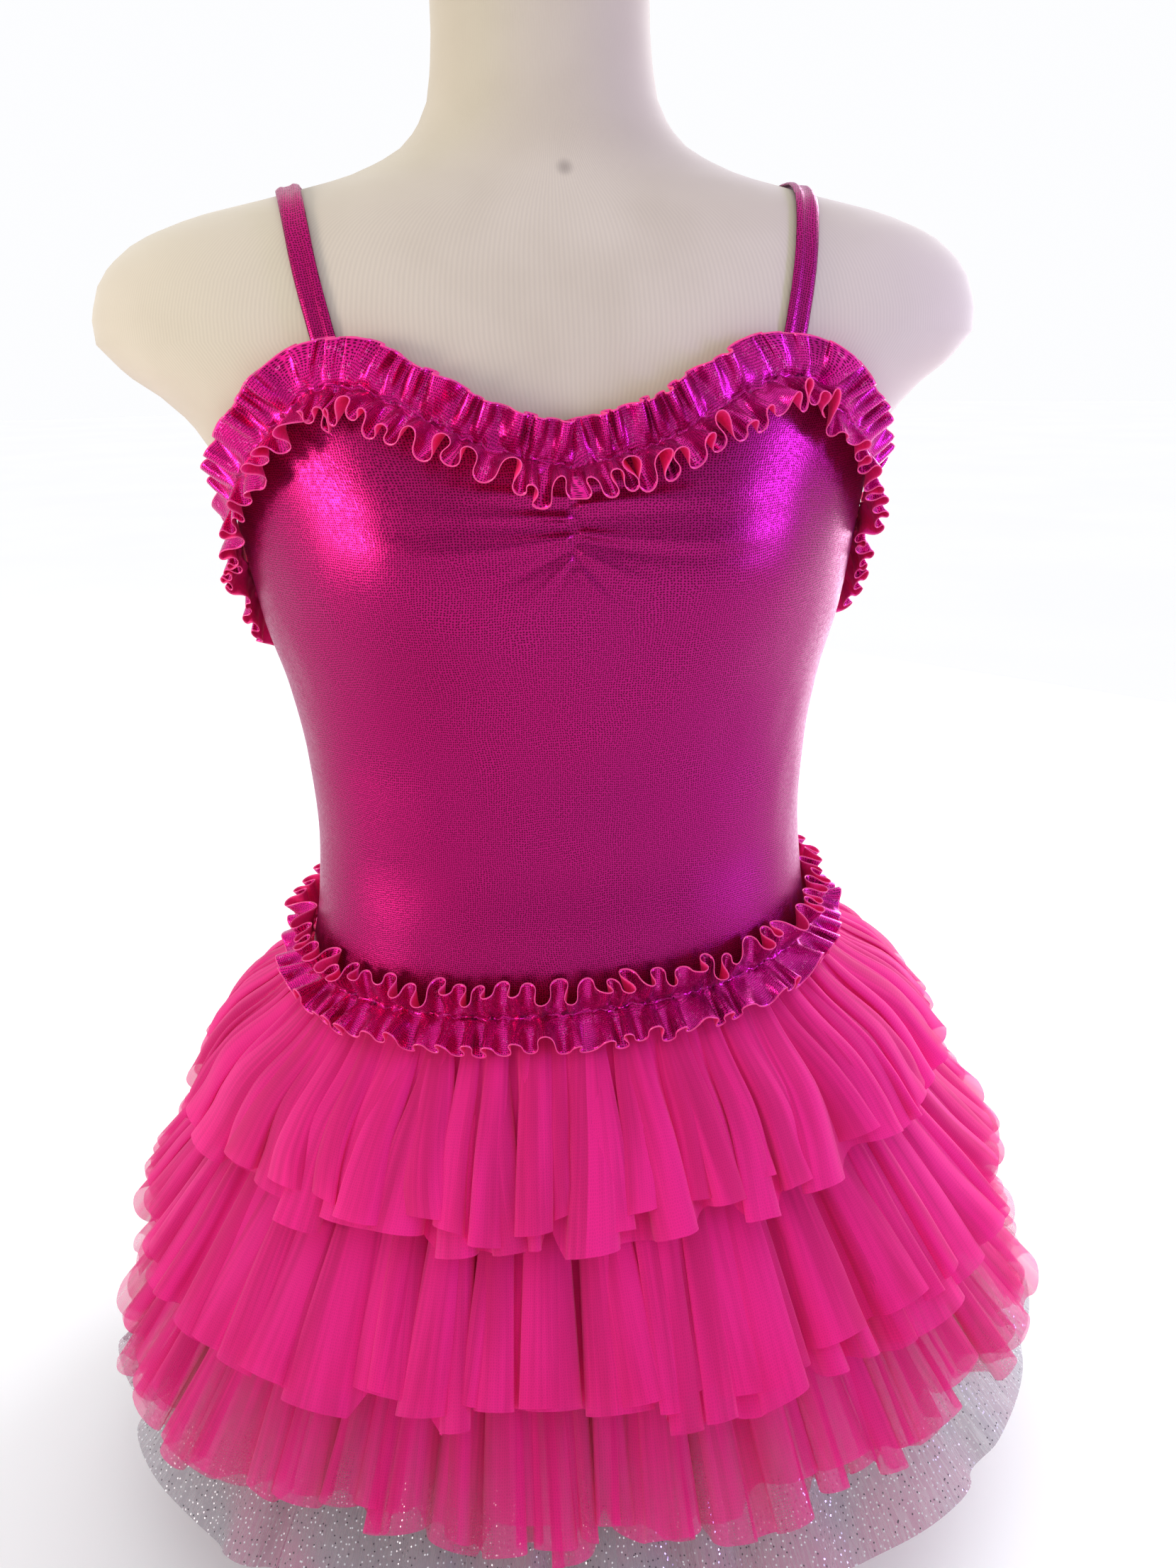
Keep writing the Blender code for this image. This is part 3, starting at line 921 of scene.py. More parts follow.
@dataclass
class DisplayForm:
    """The limbless form that the dress stands on, one closed body with a flat base."""

    shape: FormShape
    turns: int = 128
    rings: int = 168
    first_radius: float = 0.15
    cloth_radius: float = 0.14
    smooth_below: float = math.radians(50)

    def heights(self) -> np.ndarray:
        """The heights of the rings, closer together where the sections change fast."""
        keys = np.array([s.height for s in self.shape.sections])
        widths = np.array([s.half_width + s.front for s in self.shape.sections])
        run = np.concatenate([[0], np.cumsum(np.hypot(np.diff(keys), np.diff(widths)))])
        return np.interp(np.linspace(0, run[-1], self.rings + 1), run, keys)

    def build(self, jersey: bpy.types.Material) -> bpy.types.Object:
        """Models the form from a cylinder cut into rings, and covers it.

        Args:
            jersey: The cover's finish.

        Returns:
            The form.
        """
        top = self.shape.sections[-1].height
        bpy.ops.object.select_all(action="DESELECT")
        bpy.ops.mesh.primitive_cylinder_add(
            vertices=self.turns,
            radius=self.first_radius,
            depth=top,
            end_fill_type="NGON",
            location=(0, 0, top / 2),
        )
        piece = bpy.context.object
        piece.name = piece.data.name = "form_cover"
        bpy.ops.object.transform_apply(location=True, rotation=True, scale=True)
        bpy.ops.object.mode_set(mode="EDIT")
        bpy.ops.mesh.select_mode(type="EDGE")
        bpy.ops.mesh.select_all(action="DESELECT")
        bpy.ops.object.mode_set(mode="OBJECT")
        points = piece.data.vertices
        for edge in piece.data.edges:
            low, high = (points[v].co.z for v in edge.vertices)
            edge.select = abs(high - low) > top / 2
        bpy.ops.object.mode_set(mode="EDIT")
        bpy.ops.mesh.subdivide(number_cuts=self.rings - 1)
        bpy.ops.object.mode_set(mode="OBJECT")
        places = np.zeros(len(piece.data.vertices) * 3, np.float32)
        piece.data.vertices.foreach_get("co", places)
        places = places.reshape(-1, 3).astype(float)
        ring = np.rint(places[:, 2] / top * self.rings).astype(int)
        turn = np.arctan2(places[:, 0], -places[:, 1])
        shaped = self.shape.skin(turn, self.heights()[ring])
        piece.data.vertices.foreach_set("co", shaped.reshape(-1).astype(np.float32))
        self.wrap(piece, turn, shaped[:, 2])
        piece.data.update()
        bpy.ops.object.select_all(action="DESELECT")
        piece.select_set(True)
        bpy.context.view_layer.objects.active = piece
        bpy.ops.object.shade_smooth_by_angle(angle=self.smooth_below)
        piece.data.materials.append(jersey)
        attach(piece, BODY)
        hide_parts("dress_form")
        log.info("form_cover: %d faces", len(piece.data.polygons))
        return piece

    def wrap(self, piece: bpy.types.Object, turn: np.ndarray, height: np.ndarray) -> None:
        """Lays the knitted cover's own map round the form, its ribs running up and down.

        Args:
            piece: The form.
            turn: Each vertex's turn from the centre front.
            height: Each vertex's height.
        """
        mesh = piece.data
        while mesh.uv_layers:
            mesh.uv_layers.remove(mesh.uv_layers[0])
        layer = mesh.uv_layers.new(name="cloth")
        index = np.zeros(len(mesh.loops), np.int32)
        mesh.loops.foreach_get("vertex_index", index)
        start = np.zeros(len(mesh.polygons), np.int32)
        total = np.zeros(len(mesh.polygons), np.int32)
        mesh.polygons.foreach_get("loop_start", start)
        mesh.polygons.foreach_get("loop_total", total)
        across = turn[index].copy()
        first = np.repeat(across[start], total)
        across = first + (across - first + math.pi) % FULL_TURN - math.pi
        flat = np.stack([across * self.cloth_radius, height[index]], axis=1)
        layer.data.foreach_set("uv", flat.reshape(-1).astype(np.float32))


@dataclass(frozen=True)
class RoutePoint:
    """A point of the strap's route: degrees up from the front about the shoulder, and how far out."""

    degrees: float
    side: float


@dataclass
class Bodice:
    """The camisole's front and back panels and the straps."""

    shape: FormShape
    lift: float = 2.2 * MM
    wall: float = 0.6 * MM
    edge_above_gather: float = 4 * MM
    seam_turn: float = 0.0012
    cloth_radius: float = 0.135
    slack: float = 0.22 * MM
    deepest: float = 1.0 * MM
    highest: float = 3 * MM
    strap_width: float = 11 * MM
    strap_wall: float = 0.9 * MM
    strap_lift: float = 2.6 * MM
    strap_ridge: float = 0.55 * MM
    stitch: float = 0.10 * MM
    stitch_pitch: float = 3.0 * MM
    strap_steps: int = 90
    strap_columns: int = 15
    strap_route: Tuple[RoutePoint, ...] = (
        RoutePoint(14.5, 0.0990),
        RoutePoint(28, 0.1040),
        RoutePoint(50, 0.1110),
        RoutePoint(90, 0.1190),
        RoutePoint(140, 0.1060),
        RoutePoint(228, 0.0690),
    )
    shoulder_hub: float = 0.610
    shoulder_reach: float = 0.3
    pinch_height: float = 0.566
    pinch_reach: float = 0.018
    pinch_width: float = 2.6 * MM
    knot_pitch: float = 5.6 * MM
    small_knot_pitch: float = 3.9 * MM
    crease_sway: float = 0.02
    crease_beat: float = 40
    crease_opens: float = 0.045
    crease_fades: float = 0.016
    creases: Tuple[Crease, ...] = (
        Crease(-1, 0.5800, 0.085, 0.06, -1.0 * MM, 2.6 * MM),
        Crease(-1, 0.5755, 0.060, 0.02, 0.8 * MM, 3.0 * MM),
        Crease(-1, 0.5715, 0.050, 0.02, -1.0 * MM, 2.4 * MM),
        Crease(-1, 0.5680, 0.110, 0.00, 1.5 * MM, 4.6 * MM),
        Crease(-1, 0.5635, 0.090, -0.06, -1.1 * MM, 4.0 * MM),
        Crease(-1, 0.5590, 0.045, -0.28, 0.9 * MM, 3.0 * MM),
        Crease(-1, 0.5560, 0.034, -0.55, -0.8 * MM, 2.8 * MM),
        Crease(-1, 0.5535, 0.020, -0.90, 0.5 * MM, 2.6 * MM),
        Crease(1, 0.5810, 0.070, 0.08, 0.9 * MM, 2.8 * MM),
        Crease(1, 0.5770, 0.085, 0.05, -1.1 * MM, 3.0 * MM),
        Crease(1, 0.5700, 0.110, -0.01, 1.5 * MM, 4.8 * MM),
        Crease(1, 0.5655, 0.070, -0.08, -1.0 * MM, 3.2 * MM),
        Crease(1, 0.5620, 0.095, -0.11, 1.0 * MM, 3.8 * MM),
        Crease(1, 0.5580, 0.040, -0.30, -0.9 * MM, 2.8 * MM),
        Crease(1, 0.5550, 0.034, -0.60, 0.8 * MM, 2.8 * MM),
        Crease(1, 0.5530, 0.018, -0.90, -0.4 * MM, 2.6 * MM),
    )

    def ruching(self, points: np.ndarray) -> np.ndarray:
        """How far the creases from the centre front stand out from the plain panel.

        Args:
            points: Rows by columns of places on the plain front.

        Returns:
            The rise at each place.
        """
        x, z = points[..., 0], points[..., 2]
        rise = np.zeros_like(x)
        for crease in self.creases:
            out = x * crease.side
            line = crease.height + crease.slope * out
            line = line + self.crease_sway * crease.slope * np.sin(out * self.crease_beat)
            spread = crease.width * (0.45 + 0.75 * np.clip(out / self.crease_opens, 0, 1))
            near = np.exp(-(((z - line) / spread) ** 2))
            start = np.clip((out + 2 * MM) / (5 * MM), 0, 1)
            fade = np.clip(1 - out / crease.length, 0, 1) ** 0.8
            strength = 1.2 + 0.9 * np.exp(-np.clip(out, 0, 1) / self.crease_fades)
            rise = rise - strength * crease.depth * near * start * fade
        pinched = np.exp(-((x / self.pinch_width) ** 2) - ((z - self.pinch_height) / self.pinch_reach) ** 4)
        knots = np.sin(z * FULL_TURN / self.knot_pitch)
        knots = knots + 0.5 * np.sin(z * FULL_TURN / self.small_knot_pitch + 1)
        return rise * (1 - 0.6 * pinched) - pinched * (1.3 * MM + 0.6 * MM * knots)

    def panel(self, name: str, start: float, end: float, columns: int, rows: int) -> ClothSheet:
        """Makes one panel, from the skirt seam to its top edge.

        Args:
            name: The piece's name.
            start: The turn at its first side.
            end: The turn at its last side.
            columns: How many faces it has across, closest together in the middle.
            rows: How many faces it has up, closest together at the top.

        Returns:
            The panel.
        """
        even = np.linspace(-1, 1, columns + 1)[None, :]
        turn = (start + end) / 2 + (end - start) / 2 * (0.55 * even + 0.45 * even**3)
        share = 1 - (1 - np.linspace(0, 1, rows + 1)[:, None]) ** 1.5
        bottom = self.shape.seam_height(turn)
        top = self.shape.gather_height(turn) + self.edge_above_gather
        height = bottom + (top - bottom) * share
        turn = np.broadcast_to(turn, height.shape)
        plain = self.shape.over(turn, height, np.full(height.shape, self.lift))
        slack = self.slack * grain(turn * 9, height * 26, 3.0, 1000)
        rise = slack + np.where(np.cos(turn) > 0, self.ruching(plain), 0.0)
        fade = np.clip((top - height) / (10 * MM), 0, 1)
        rise = np.clip(rise * fade, -self.deepest, self.highest)
        points = plain + self.shape.outward(turn, height) * rise[..., None]
        cloth = np.stack([turn * self.cloth_radius, height], axis=-1)
        return ClothSheet(name, points, cloth, closed=False)

    def strap_spine(self, hand: int) -> Tuple[np.ndarray, np.ndarray]:
        """Lays the strap's centre line over the shoulder.

        Args:
            hand: 1 for the strap at +X, -1 for the other.

        Returns:
            The line's points, and the way up from the form at each.
        """
        route = self.strap_route
        degrees = np.linspace(route[0].degrees, route[-1].degrees, self.strap_steps)
        side = smooth_table(degrees, [r.degrees for r in route], [r.side for r in route])
        angle = np.radians(degrees)
        spine = self.over_shoulder(side, angle)
        beside = self.over_shoulder(side + MM, angle) - self.over_shoulder(side - MM, angle)
        up = unit(np.cross(beside, np.gradient(spine, axis=0)))
        kernel = np.ones(5) / 5
        padded = np.pad(up, ((2, 2), (0, 0)), mode="edge")
        up = unit(np.stack([np.convolve(padded[:, i], kernel, "valid") for i in range(3)], axis=1))
        flip = np.array([hand, 1.0, 1.0])
        return spine * flip, up * flip

    def over_shoulder(self, side: np.ndarray, angle: np.ndarray) -> np.ndarray:
        """Finds the form's surface along a ray from a hub inside the shoulder.

        Args:
            side: The ray's own place to the side.
            angle: Its angle up from the front.

        Returns:
            The point where each ray leaves the form.
        """
        way = np.stack([np.zeros_like(angle), -np.cos(angle), np.sin(angle)], axis=-1)
        hub = np.stack([side, np.zeros_like(side), np.full_like(side, self.shoulder_hub)], axis=-1)
        near, far = np.zeros_like(angle), np.full_like(angle, self.shoulder_reach)
        for _ in range(40):
            middle = (near + far) / 2
            point = hub + way * middle[..., None]
            reach, _, _ = self.shape.reach(np.arctan2(point[..., 0], -point[..., 1]), point[..., 2])
            held = np.hypot(point[..., 0], point[..., 1]) < reach
            near, far = np.where(held, middle, near), np.where(held, far, middle)
        return hub + way * near[..., None]

    def strap(self, name: str, hand: int) -> Tuple[ClothSheet, float]:
        """Makes one strap with its two stitched ridges.

        Args:
            name: The piece's name.
            hand: 1 for the strap at +X, -1 for the other.

        Returns:
            The strap and its length.
        """
        spine, up = self.strap_spine(hand)
        along = unit(np.gradient(spine, axis=0))
        across = -unit(np.cross(along, up))
        shares = np.linspace(-0.5, 0.5, self.strap_columns)
        ridges = np.exp(-(((np.abs(shares) - 0.27) / 0.10) ** 2)) * self.strap_ridge
        edges = -self.strap_ridge * np.clip((np.abs(shares) - 0.40) / 0.10, 0, 1) ** 2
        run = np.concatenate([[0], np.cumsum(np.linalg.norm(np.diff(spine, axis=0), axis=1))])
        stitches = self.stitch * np.sin(run * FULL_TURN / self.stitch_pitch)
        lift = self.strap_lift + ridges[:, None] + edges[:, None] + stitches[None, :]
        points = spine[None] + up[None] * lift[..., None]
        points = points + across[None] * (self.strap_width * shares)[:, None, None]
        cloth = np.zeros((*points.shape[:2], 2))
        cloth[..., 0] = run[None, :]
        cloth[..., 1] = (shares * self.strap_width)[:, None]
        return ClothSheet(name, points, cloth, closed=False), float(run[-1])

    def build(self, foil: bpy.types.Material, reverse: bpy.types.Material, edge: bpy.types.Material) -> None:
        """Makes the two panels and the two straps.

        Args:
            foil: The cloth's face.
            reverse: Its back.
            edge: Its cut edge.
        """
        quarter = math.pi / 2
        seam = self.seam_turn
        front = self.panel("camisole_front", -quarter + seam, quarter - seam, 240, 170)
        back = self.panel("camisole_back", quarter + seam, 3 * quarter - seam, 160, 90)
        panels = ((front, "bodice_front", (0.47, 0.33)), (back, "bodice_back", (0.44, 0.23)))
        for sheet, node, flat in panels:
            area = min(sheet.area(), 0.98 * flat[0] * flat[1])
            sheet.wall(self.wall).dress(foil, reverse, edge)
            sheet.declare(flat, Held.STRETCHED, ["form_cover"], node, "foil", area)
        for word, hand in (("left", -1), ("right", 1)):
            sheet, length = self.strap(f"strap_band_{word}", hand)
            sheet.wall(self.strap_wall).dress(foil, foil, foil)
            flat = (round(self.strap_width * 1.1, 3), round(length, 3))
            sheet.declare(flat, Held.STRETCHED, ["form_cover"], f"strap_{word}", "foil")


@dataclass(frozen=True)
class RuffleHalf:
    """One half of a gathered strip, from its gathering line to its edge."""

    width: float
    flare: float
    swing: float
    height: float
    seed: int


def follow(way: np.ndarray, step: float) -> Tuple[np.ndarray, np.ndarray]:
    """Follows lines whose direction is given at even steps.

    Args:
        way: Lines by steps of direction angles.
        step: The length of a step.

    Returns:
        How far each line has run along and off its base, at every step.
    """
    runs = []
    for part in (np.cos(way), np.sin(way)):
        run = np.cumsum((part[:, 1:] + part[:, :-1]) / 2 * step, axis=1)
        runs.append(np.concatenate([np.zeros((len(way), 1)), run], axis=1))
    return runs[0], runs[1]


@dataclass
class GatheredRuffle:
    """A strip gathered along its middle, so that both of its edges stand out in lobes."""

    shape: FormShape
    name: str
    node: str
    line: Callable[[np.ndarray], np.ndarray]
    pitch: float
    upper: RuffleHalf
    lower: RuffleHalf
    seed: int
    lift: float = 3.6 * MM
    wall: float = 0.40 * MM
    samples: int = 12
    lobe_steps: int = 48
    lean: float = 0.28
    smooth_at: Tuple[float, ...] = ()
    smooth_reach: float = 0.085
    smooth_by: float = 0.72
    side_hug: float = 0.0
    bow: float = 0.9 * MM
    dip: float = 0.4 * MM
    pucker_reach: float = 5.0 * MM
    pucker_lift: float = 1.4 * MM
    pucker_shift: float = 1.3 * MM
    wrinkle_length: float = 2.7 * MM
    wrinkle_height: float = 1.6 * MM
    cut_allowance: float = 1.05
    levels: Tuple[float, ...] = (0.05, 0.13, 0.24, 0.38, 0.54, 0.72, 0.93, 1.0)

    def gather(self) -> None:
        """Measures the gathering line and spaces the lobes along it."""
        fine = np.linspace(0, FULL_TURN, 2881)
        route = self.shape.skin(fine, self.line(fine))
        run = np.concatenate([[0], np.cumsum(np.linalg.norm(np.diff(route, axis=0), axis=1))])
        self.fine, self.run, self.length = fine, run, float(run[-1])
        dice = np.random.default_rng(self.seed)
        self.halves = 2 * int(round(self.length / self.pitch))
        gaps = dice.uniform(0.50, 1.25, self.halves) * (1 + 0.9 * (dice.uniform(0, 1, self.halves) > 0.84))
        self.gaps = gaps / gaps.sum() * self.length
        self.starts = np.concatenate([[0], np.cumsum(self.gaps)])[:-1]

    def turn_at(self, place: np.ndarray) -> np.ndarray:
        """The turn at a place along the gathering line."""
        return np.interp(np.mod(place, self.length), self.run, self.fine)

    def lobes(self, half: RuffleHalf) -> Tuple[np.ndarray, np.ndarray, np.ndarray]:
        """Runs one edge of the strip back and forth in S-shaped lobes.

        Args:
            half: The half of the strip.

        Returns:
            The place along the line and the swing off it at each column, and each lobe's cloth.
        """
        dice = np.random.default_rng(half.seed)
        sign = np.where(np.arange(self.halves) % 2 == 0, -1.0, 1.0)
        tall = dice.uniform(0.50, 1.40, self.halves) * half.height / 2
        peaks = sign * tall
        rise = np.roll(peaks, -1) - peaks
        bends = np.linspace(0.05, 2.15, 200)
        q = np.linspace(0, 1, self.lobe_steps + 1)
        swell = np.sin(math.pi * q)[None, :]
        step = q[1] - q[0]
        trial_x, trial_y = follow(bends[:, None] * swell, step)
        bend = np.interp(np.abs(rise) / self.gaps, trial_y[:, -1] / trial_x[:, -1], bends)
        run_x, run_y = follow(bend[:, None] * swell, step)
        cloth = self.gaps / run_x[:, -1]
        share_x = run_x / run_x[:, -1:]
        share_y = run_y / run_y[:, -1:]
        every = self.lobe_steps // self.samples
        along = (self.starts[:, None] + self.gaps[:, None] * share_x)[:, :-1:every].reshape(-1)
        off = (peaks[:, None] + rise[:, None] * share_y)[:, :-1:every].reshape(-1)
        lean = self.lean * wander(along / self.length * FULL_TURN, half.seed, (7, 12, 17))
        return along + lean * off, off, cloth

    def build(self, foil: bpy.types.Material, reverse: bpy.types.Material, edge: bpy.types.Material) -> None:
        """Makes the ruffle.

        Args:
            foil: The cloth's face.
            reverse: Its back.
            edge: Its cut edge.
        """
        self.gather()
        share = np.arange(self.samples) / self.samples
        rest = (self.starts[:, None] + self.gaps[:, None] * share[None, :]).reshape(-1)
        low = self.half_rows(self.lower, -1, rest)
        high = self.half_rows(self.upper, 1, rest)
        middle = self.row(rest, np.zeros_like(rest), np.full_like(rest, self.lift), 0.0)
        rows = [row for row, _, _ in reversed(low)] + [middle] + [row for row, _, _ in high]
        places = [-v for _, v, _ in reversed(low)] + [0.0] + [v for _, v, _ in high]
        marks = [m for _, _, m in reversed(low)] + [0.0] + [m for _, _, m in high]
        points = np.array(rows)
        fullness = self.cloth_length / self.length
        along = np.concatenate([rest, [self.length]]) * fullness
        cloth = np.zeros((len(rows), len(rest) + 1, 2))
        cloth[..., 0] = along[None, :]
        cloth[..., 1] = np.array(places)[:, None]
        sheet = ClothSheet(self.name, points, cloth, closed=True)
        sheet.mark_edges(np.repeat(np.array(marks), len(rest)))
        area = sheet.area()
        sheet.wall(self.wall).dress(foil, reverse, edge)
        width = self.upper.width + self.lower.width
        flat = (round(area / width * self.cut_allowance, 3), round(width, 3))
        sheet.declare(flat, Held.GATHERED, ["camisole_front", "camisole_back"], self.node, "foil")

    def half_rows(
        self, half: RuffleHalf, side: int, rest: np.ndarray
    ) -> List[Tuple[np.ndarray, float, float]]:
        """Makes the rows of one half of the strip.

        Args:
            half: The half.
            side: 1 for the upper half, -1 for the lower one.
            rest: The places of the columns along the gathering line.

        Returns:
            From the gathering line out, each row's points, its place across the cloth, and
            whether it is the raw edge.
        """
        along, off, cloth = self.lobes(half)
        self.cloth_length = float(cloth.sum())
        turn = rest / self.length * FULL_TURN
        calm = np.ones_like(rest)
        if side > 0:
            for spot in self.smooth_at:
                away = np.abs((self.turn_at(rest) - spot + math.pi) % FULL_TURN - math.pi)
                calm = calm - self.smooth_by * np.exp(-((away / self.smooth_reach) ** 2))
        hug = 1 - self.side_hug * np.sin(self.turn_at(rest)) ** 4
        flare = half.flare * hug + half.swing * wander(turn, half.seed + 1, (11, 19, 31, 43))
        width = half.width * (1 + 0.05 * wander(turn, half.seed + 2, (5, 14, 29)))
        made = []
        for level in self.levels:
            place = rest + (along - rest) * level
            swing = off * level * calm * hug
            bow = math.sin(math.pi * level) * self.bow
            reach = width * level
            across = side * (reach * np.cos(flare) - swing * np.sin(flare))
            lift = self.lift + reach * np.sin(flare) + swing * np.cos(flare) + bow
            lift = np.maximum(lift, self.lift - self.dip)
            mark = 1.0 if level == self.levels[-1] else 0.0
            made.append((self.row(place, across, lift, level * half.width), half.width * level, mark))
        return made

    def row(self, place: np.ndarray, across: np.ndarray, lift: np.ndarray, away: float) -> np.ndarray:
        """Makes one row, moved across the strip on the form's surface and then lifted off it.

        Args:
            place: The columns' places along the gathering line.
            across: How far each lies across the strip from it.
            lift: How far each lies off the form.
            away: How far the row lies from the gathering line on the cloth.

        Returns:
            The row's points.
        """
        turn = self.turn_at(place)
        height = self.line(turn)
        step = 1e-3
        ahead = self.shape.skin(turn + step, self.line(turn + step))
        behind = self.shape.skin(turn - step, self.line(turn - step))
        over = unit(np.cross(self.shape.outward(turn, height), unit(ahead - behind)))
        by_turn, by_height = self.shape.slopes(turn, height)
        pucker = math.exp(-((away / self.pucker_reach) ** 2))
        cells = int(self.length / self.wrinkle_length)
        along, level = place / self.length * cells, np.full_like(place, away / self.wrinkle_height)
        wrinkle = grain(along, level, self.seed, cells)
        shift = grain(along, level, self.seed + 9, cells)
        wanted = over * (across + pucker * self.pucker_shift * shift)[:, None]
        a = np.sum(by_turn * by_turn, axis=1)
        b = np.sum(by_turn * by_height, axis=1)
        c = np.sum(by_height * by_height, axis=1)
        d = np.sum(wanted * by_turn, axis=1)
        e = np.sum(wanted * by_height, axis=1)
        whole = a * c - b * b
        moved_turn = turn + (d * c - e * b) / whole
        moved_height = height + (a * e - b * d) / whole
        lift = lift + pucker * self.pucker_lift * (wrinkle + 0.25)
        return self.shape.over(moved_turn, moved_height, lift)


@dataclass(frozen=True)
class ProfilePoint:
    """A point of a tier's hang, out from the yoke and down from the skirt seam."""

    out: float
    down: float


@dataclass(frozen=True)
class TierPlan:
    """The sizes of one tier of the skirt."""

    name: str
    node: str
    folds: int
    bend: float
    wave: float
    swing: float
    hem: float
    layers: int
    profile: Tuple[ProfilePoint, ...]


@dataclass
class TieredSkirt:
    """The yoke, the three tiers of tulle and the net under them."""

    shape: FormShape
    side_flare: float = 0.10
    root_lift: float = 2.6 * MM
    rows: int = 22
    samples: int = 24
    tuck: float = 0.55
    side_shift: float = 0.05
    root_spread: float = 0.30
    slow_drift: float = 0.055
    quick_drift: float = 0.014
    root_wave: float = 0.9 * MM
    pleat: float = 1.2 * MM
    rumple: float = 1.4 * MM
    layer_gap: float = 3.4 * MM
    least_reach: float = 0.6 * MM
    cut_allowance: float = 1.12
    yoke_depth: float = 0.090
    yoke_lift: float = 2.0 * MM
    yoke_columns: int = 160
    yoke_rows: int = 12
    cloth_radius: float = 0.14
    tiers: Tuple[TierPlan, ...] = (
        TierPlan("tulle_top", "tulle_tier_1", 52, 1.90, 7.6 * MM, 5 * MM, 8 * MM, 2, (
            ProfilePoint(0.0014, 0.007), ProfilePoint(0.020, 0.024),
            ProfilePoint(0.046, 0.044), ProfilePoint(0.066, 0.078))),
        TierPlan("tulle_middle", "tulle_tier_2", 54, 1.90, 8.2 * MM, 6 * MM, 10 * MM, 2, (
            ProfilePoint(0.0014, 0.030), ProfilePoint(0.022, 0.054),
            ProfilePoint(0.058, 0.100), ProfilePoint(0.098, 0.152))),
        TierPlan("tulle_low", "tulle_tier_3", 54, 1.85, 8.2 * MM, 6 * MM, 11 * MM, 2, (
            ProfilePoint(0.0014, 0.055), ProfilePoint(0.022, 0.088),
            ProfilePoint(0.060, 0.150), ProfilePoint(0.110, 0.218))),
        TierPlan("net_underlayer", "glitter_net", 26, 1.20, 6.2 * MM, 6 * MM, 5 * MM, 1, (
            ProfilePoint(0.0014, 0.080), ProfilePoint(0.022, 0.122),
            ProfilePoint(0.060, 0.194), ProfilePoint(0.118, 0.258))),
    )

    def folds(self, plan: TierPlan, dice: np.random.Generator) -> Tuple[np.ndarray, ...]:
        """Folds the hem of one layer into broad flat panels with narrow tucks between them.

        Args:
            plan: The tier.
            dice: The chance that sizes each fold.

        Returns:
            By column: the even place and the folded place round the hem, as shares of it, how far
            the cloth lies inside the panels' face, from 0 to 1, and the panel's own hem length.
        """
        q = np.arange(self.samples) / self.samples
        wide = dice.uniform(0.5, 1.55, plan.folds)
        wide = wide / wide.sum()
        begin = np.concatenate([[0], np.cumsum(wide)])[:-1]
        bend = dice.uniform(plan.bend - 0.55, plan.bend + 0.30, plan.folds)
        deep = dice.uniform(0.40, 1.45, plan.folds)
        phase = FULL_TURN * q - self.tuck * np.sin(FULL_TURN * q)
        way = bend[:, None] * np.sin(phase)[None, :]
        across = np.cumsum(np.cos(way), axis=1)
        total = across[:, -1:]
        across = np.concatenate([np.zeros((plan.folds, 1)), across[:, :-1]], axis=1) / total
        inward = np.cumsum(np.sin(way), axis=1)
        inward = np.concatenate([np.zeros((plan.folds, 1)), inward[:, :-1]], axis=1)
        inward = np.clip(inward / inward.max(axis=1, keepdims=True), 0, 1) * deep[:, None]
        folded = begin[:, None] + wide[:, None] * across
        even = begin[:, None] + wide[:, None] * q[None, :]
        lengths = dice.uniform(-1, 1, plan.folds)
        slant = dice.uniform(-0.5, 0.5, plan.folds)
        over = np.clip((q - 0.38) / 0.24, 0, 1)
        over = (over * over * (3 - 2 * over))[None, :]
        after = np.roll(lengths, -1)[:, None] + np.roll(slant, -1)[:, None] * (q[None, :] - 1) * 2
        length = (lengths[:, None] + slant[:, None] * q[None, :] * 2) * (1 - over) + after * over
        return even.reshape(-1), folded.reshape(-1), inward.reshape(-1), length.reshape(-1)

    def layer(self, plan: TierPlan, seed: int, depth: int) -> Tuple[np.ndarray, np.ndarray, float]:
        """Works out one layer of a tier.

        Args:
            plan: The tier.
            seed: Which chance lie of the folds.
            depth: 0 for the layer on top, 1 for the one under it.

        Returns:
            Its points from the hem up, its places on the flat cloth, and its length round the hem.
        """
        even, folded, inward, length = self.folds(plan, np.random.default_rng(seed))
        columns = len(even)
        key = [p.down for p in plan.profile]
        share = np.linspace(0, 1, self.rows)
        down = key[0] + (key[-1] - key[0]) * share
        out = smooth_table(down, key, [p.out for p in plan.profile])
        slope_out, slope_down = np.gradient(out), np.gradient(down)
        size = np.hypot(slope_out, slope_down)
        cells = 3 * plan.folds
        rows = []
        for i in range(self.rows):
            s = share[i]
            spread = self.root_spread + (1 - self.root_spread) * s**0.6
            turn = (even + (folded - even) * spread) * FULL_TURN
            turn = turn + self.slow_drift * s * wander(even * FULL_TURN, seed + 1, (7, 11, 19))
            turn = turn + self.quick_drift * s * wander(even * FULL_TURN, seed + 5, (23, 31, 38))
            seam = self.shape.seam_height(turn)
            root = self.shape.over(turn, seam - down[0], np.full(turn.shape, self.root_lift))
            plain = unit(self.shape.outward(turn, seam - down[0]) * np.array([1.0, 1.0, 0.0]))
            wide = s**0.85
            amount = self.root_wave + (2 * plan.wave - self.root_wave) * wide
            wave = amount * (0.5 - inward)
            pleats = grain(even * cells, np.full(columns, s * 1.5), seed + 8, cells)
            pleats = self.pleat * (1 - s) ** 2 * pleats
            rumple = self.rumple * wide * grain(even * cells, np.full(columns, s * 4), seed + 6, cells)
            level = 0.55 * np.sin(2 * turn + 1.7 * (seed % 7)) + 0.45 * np.sin(5 * turn + seed)
            swing = plan.swing * level * s**2 + plan.hem * length * s**2.5
            wave = wave + pleats + rumple
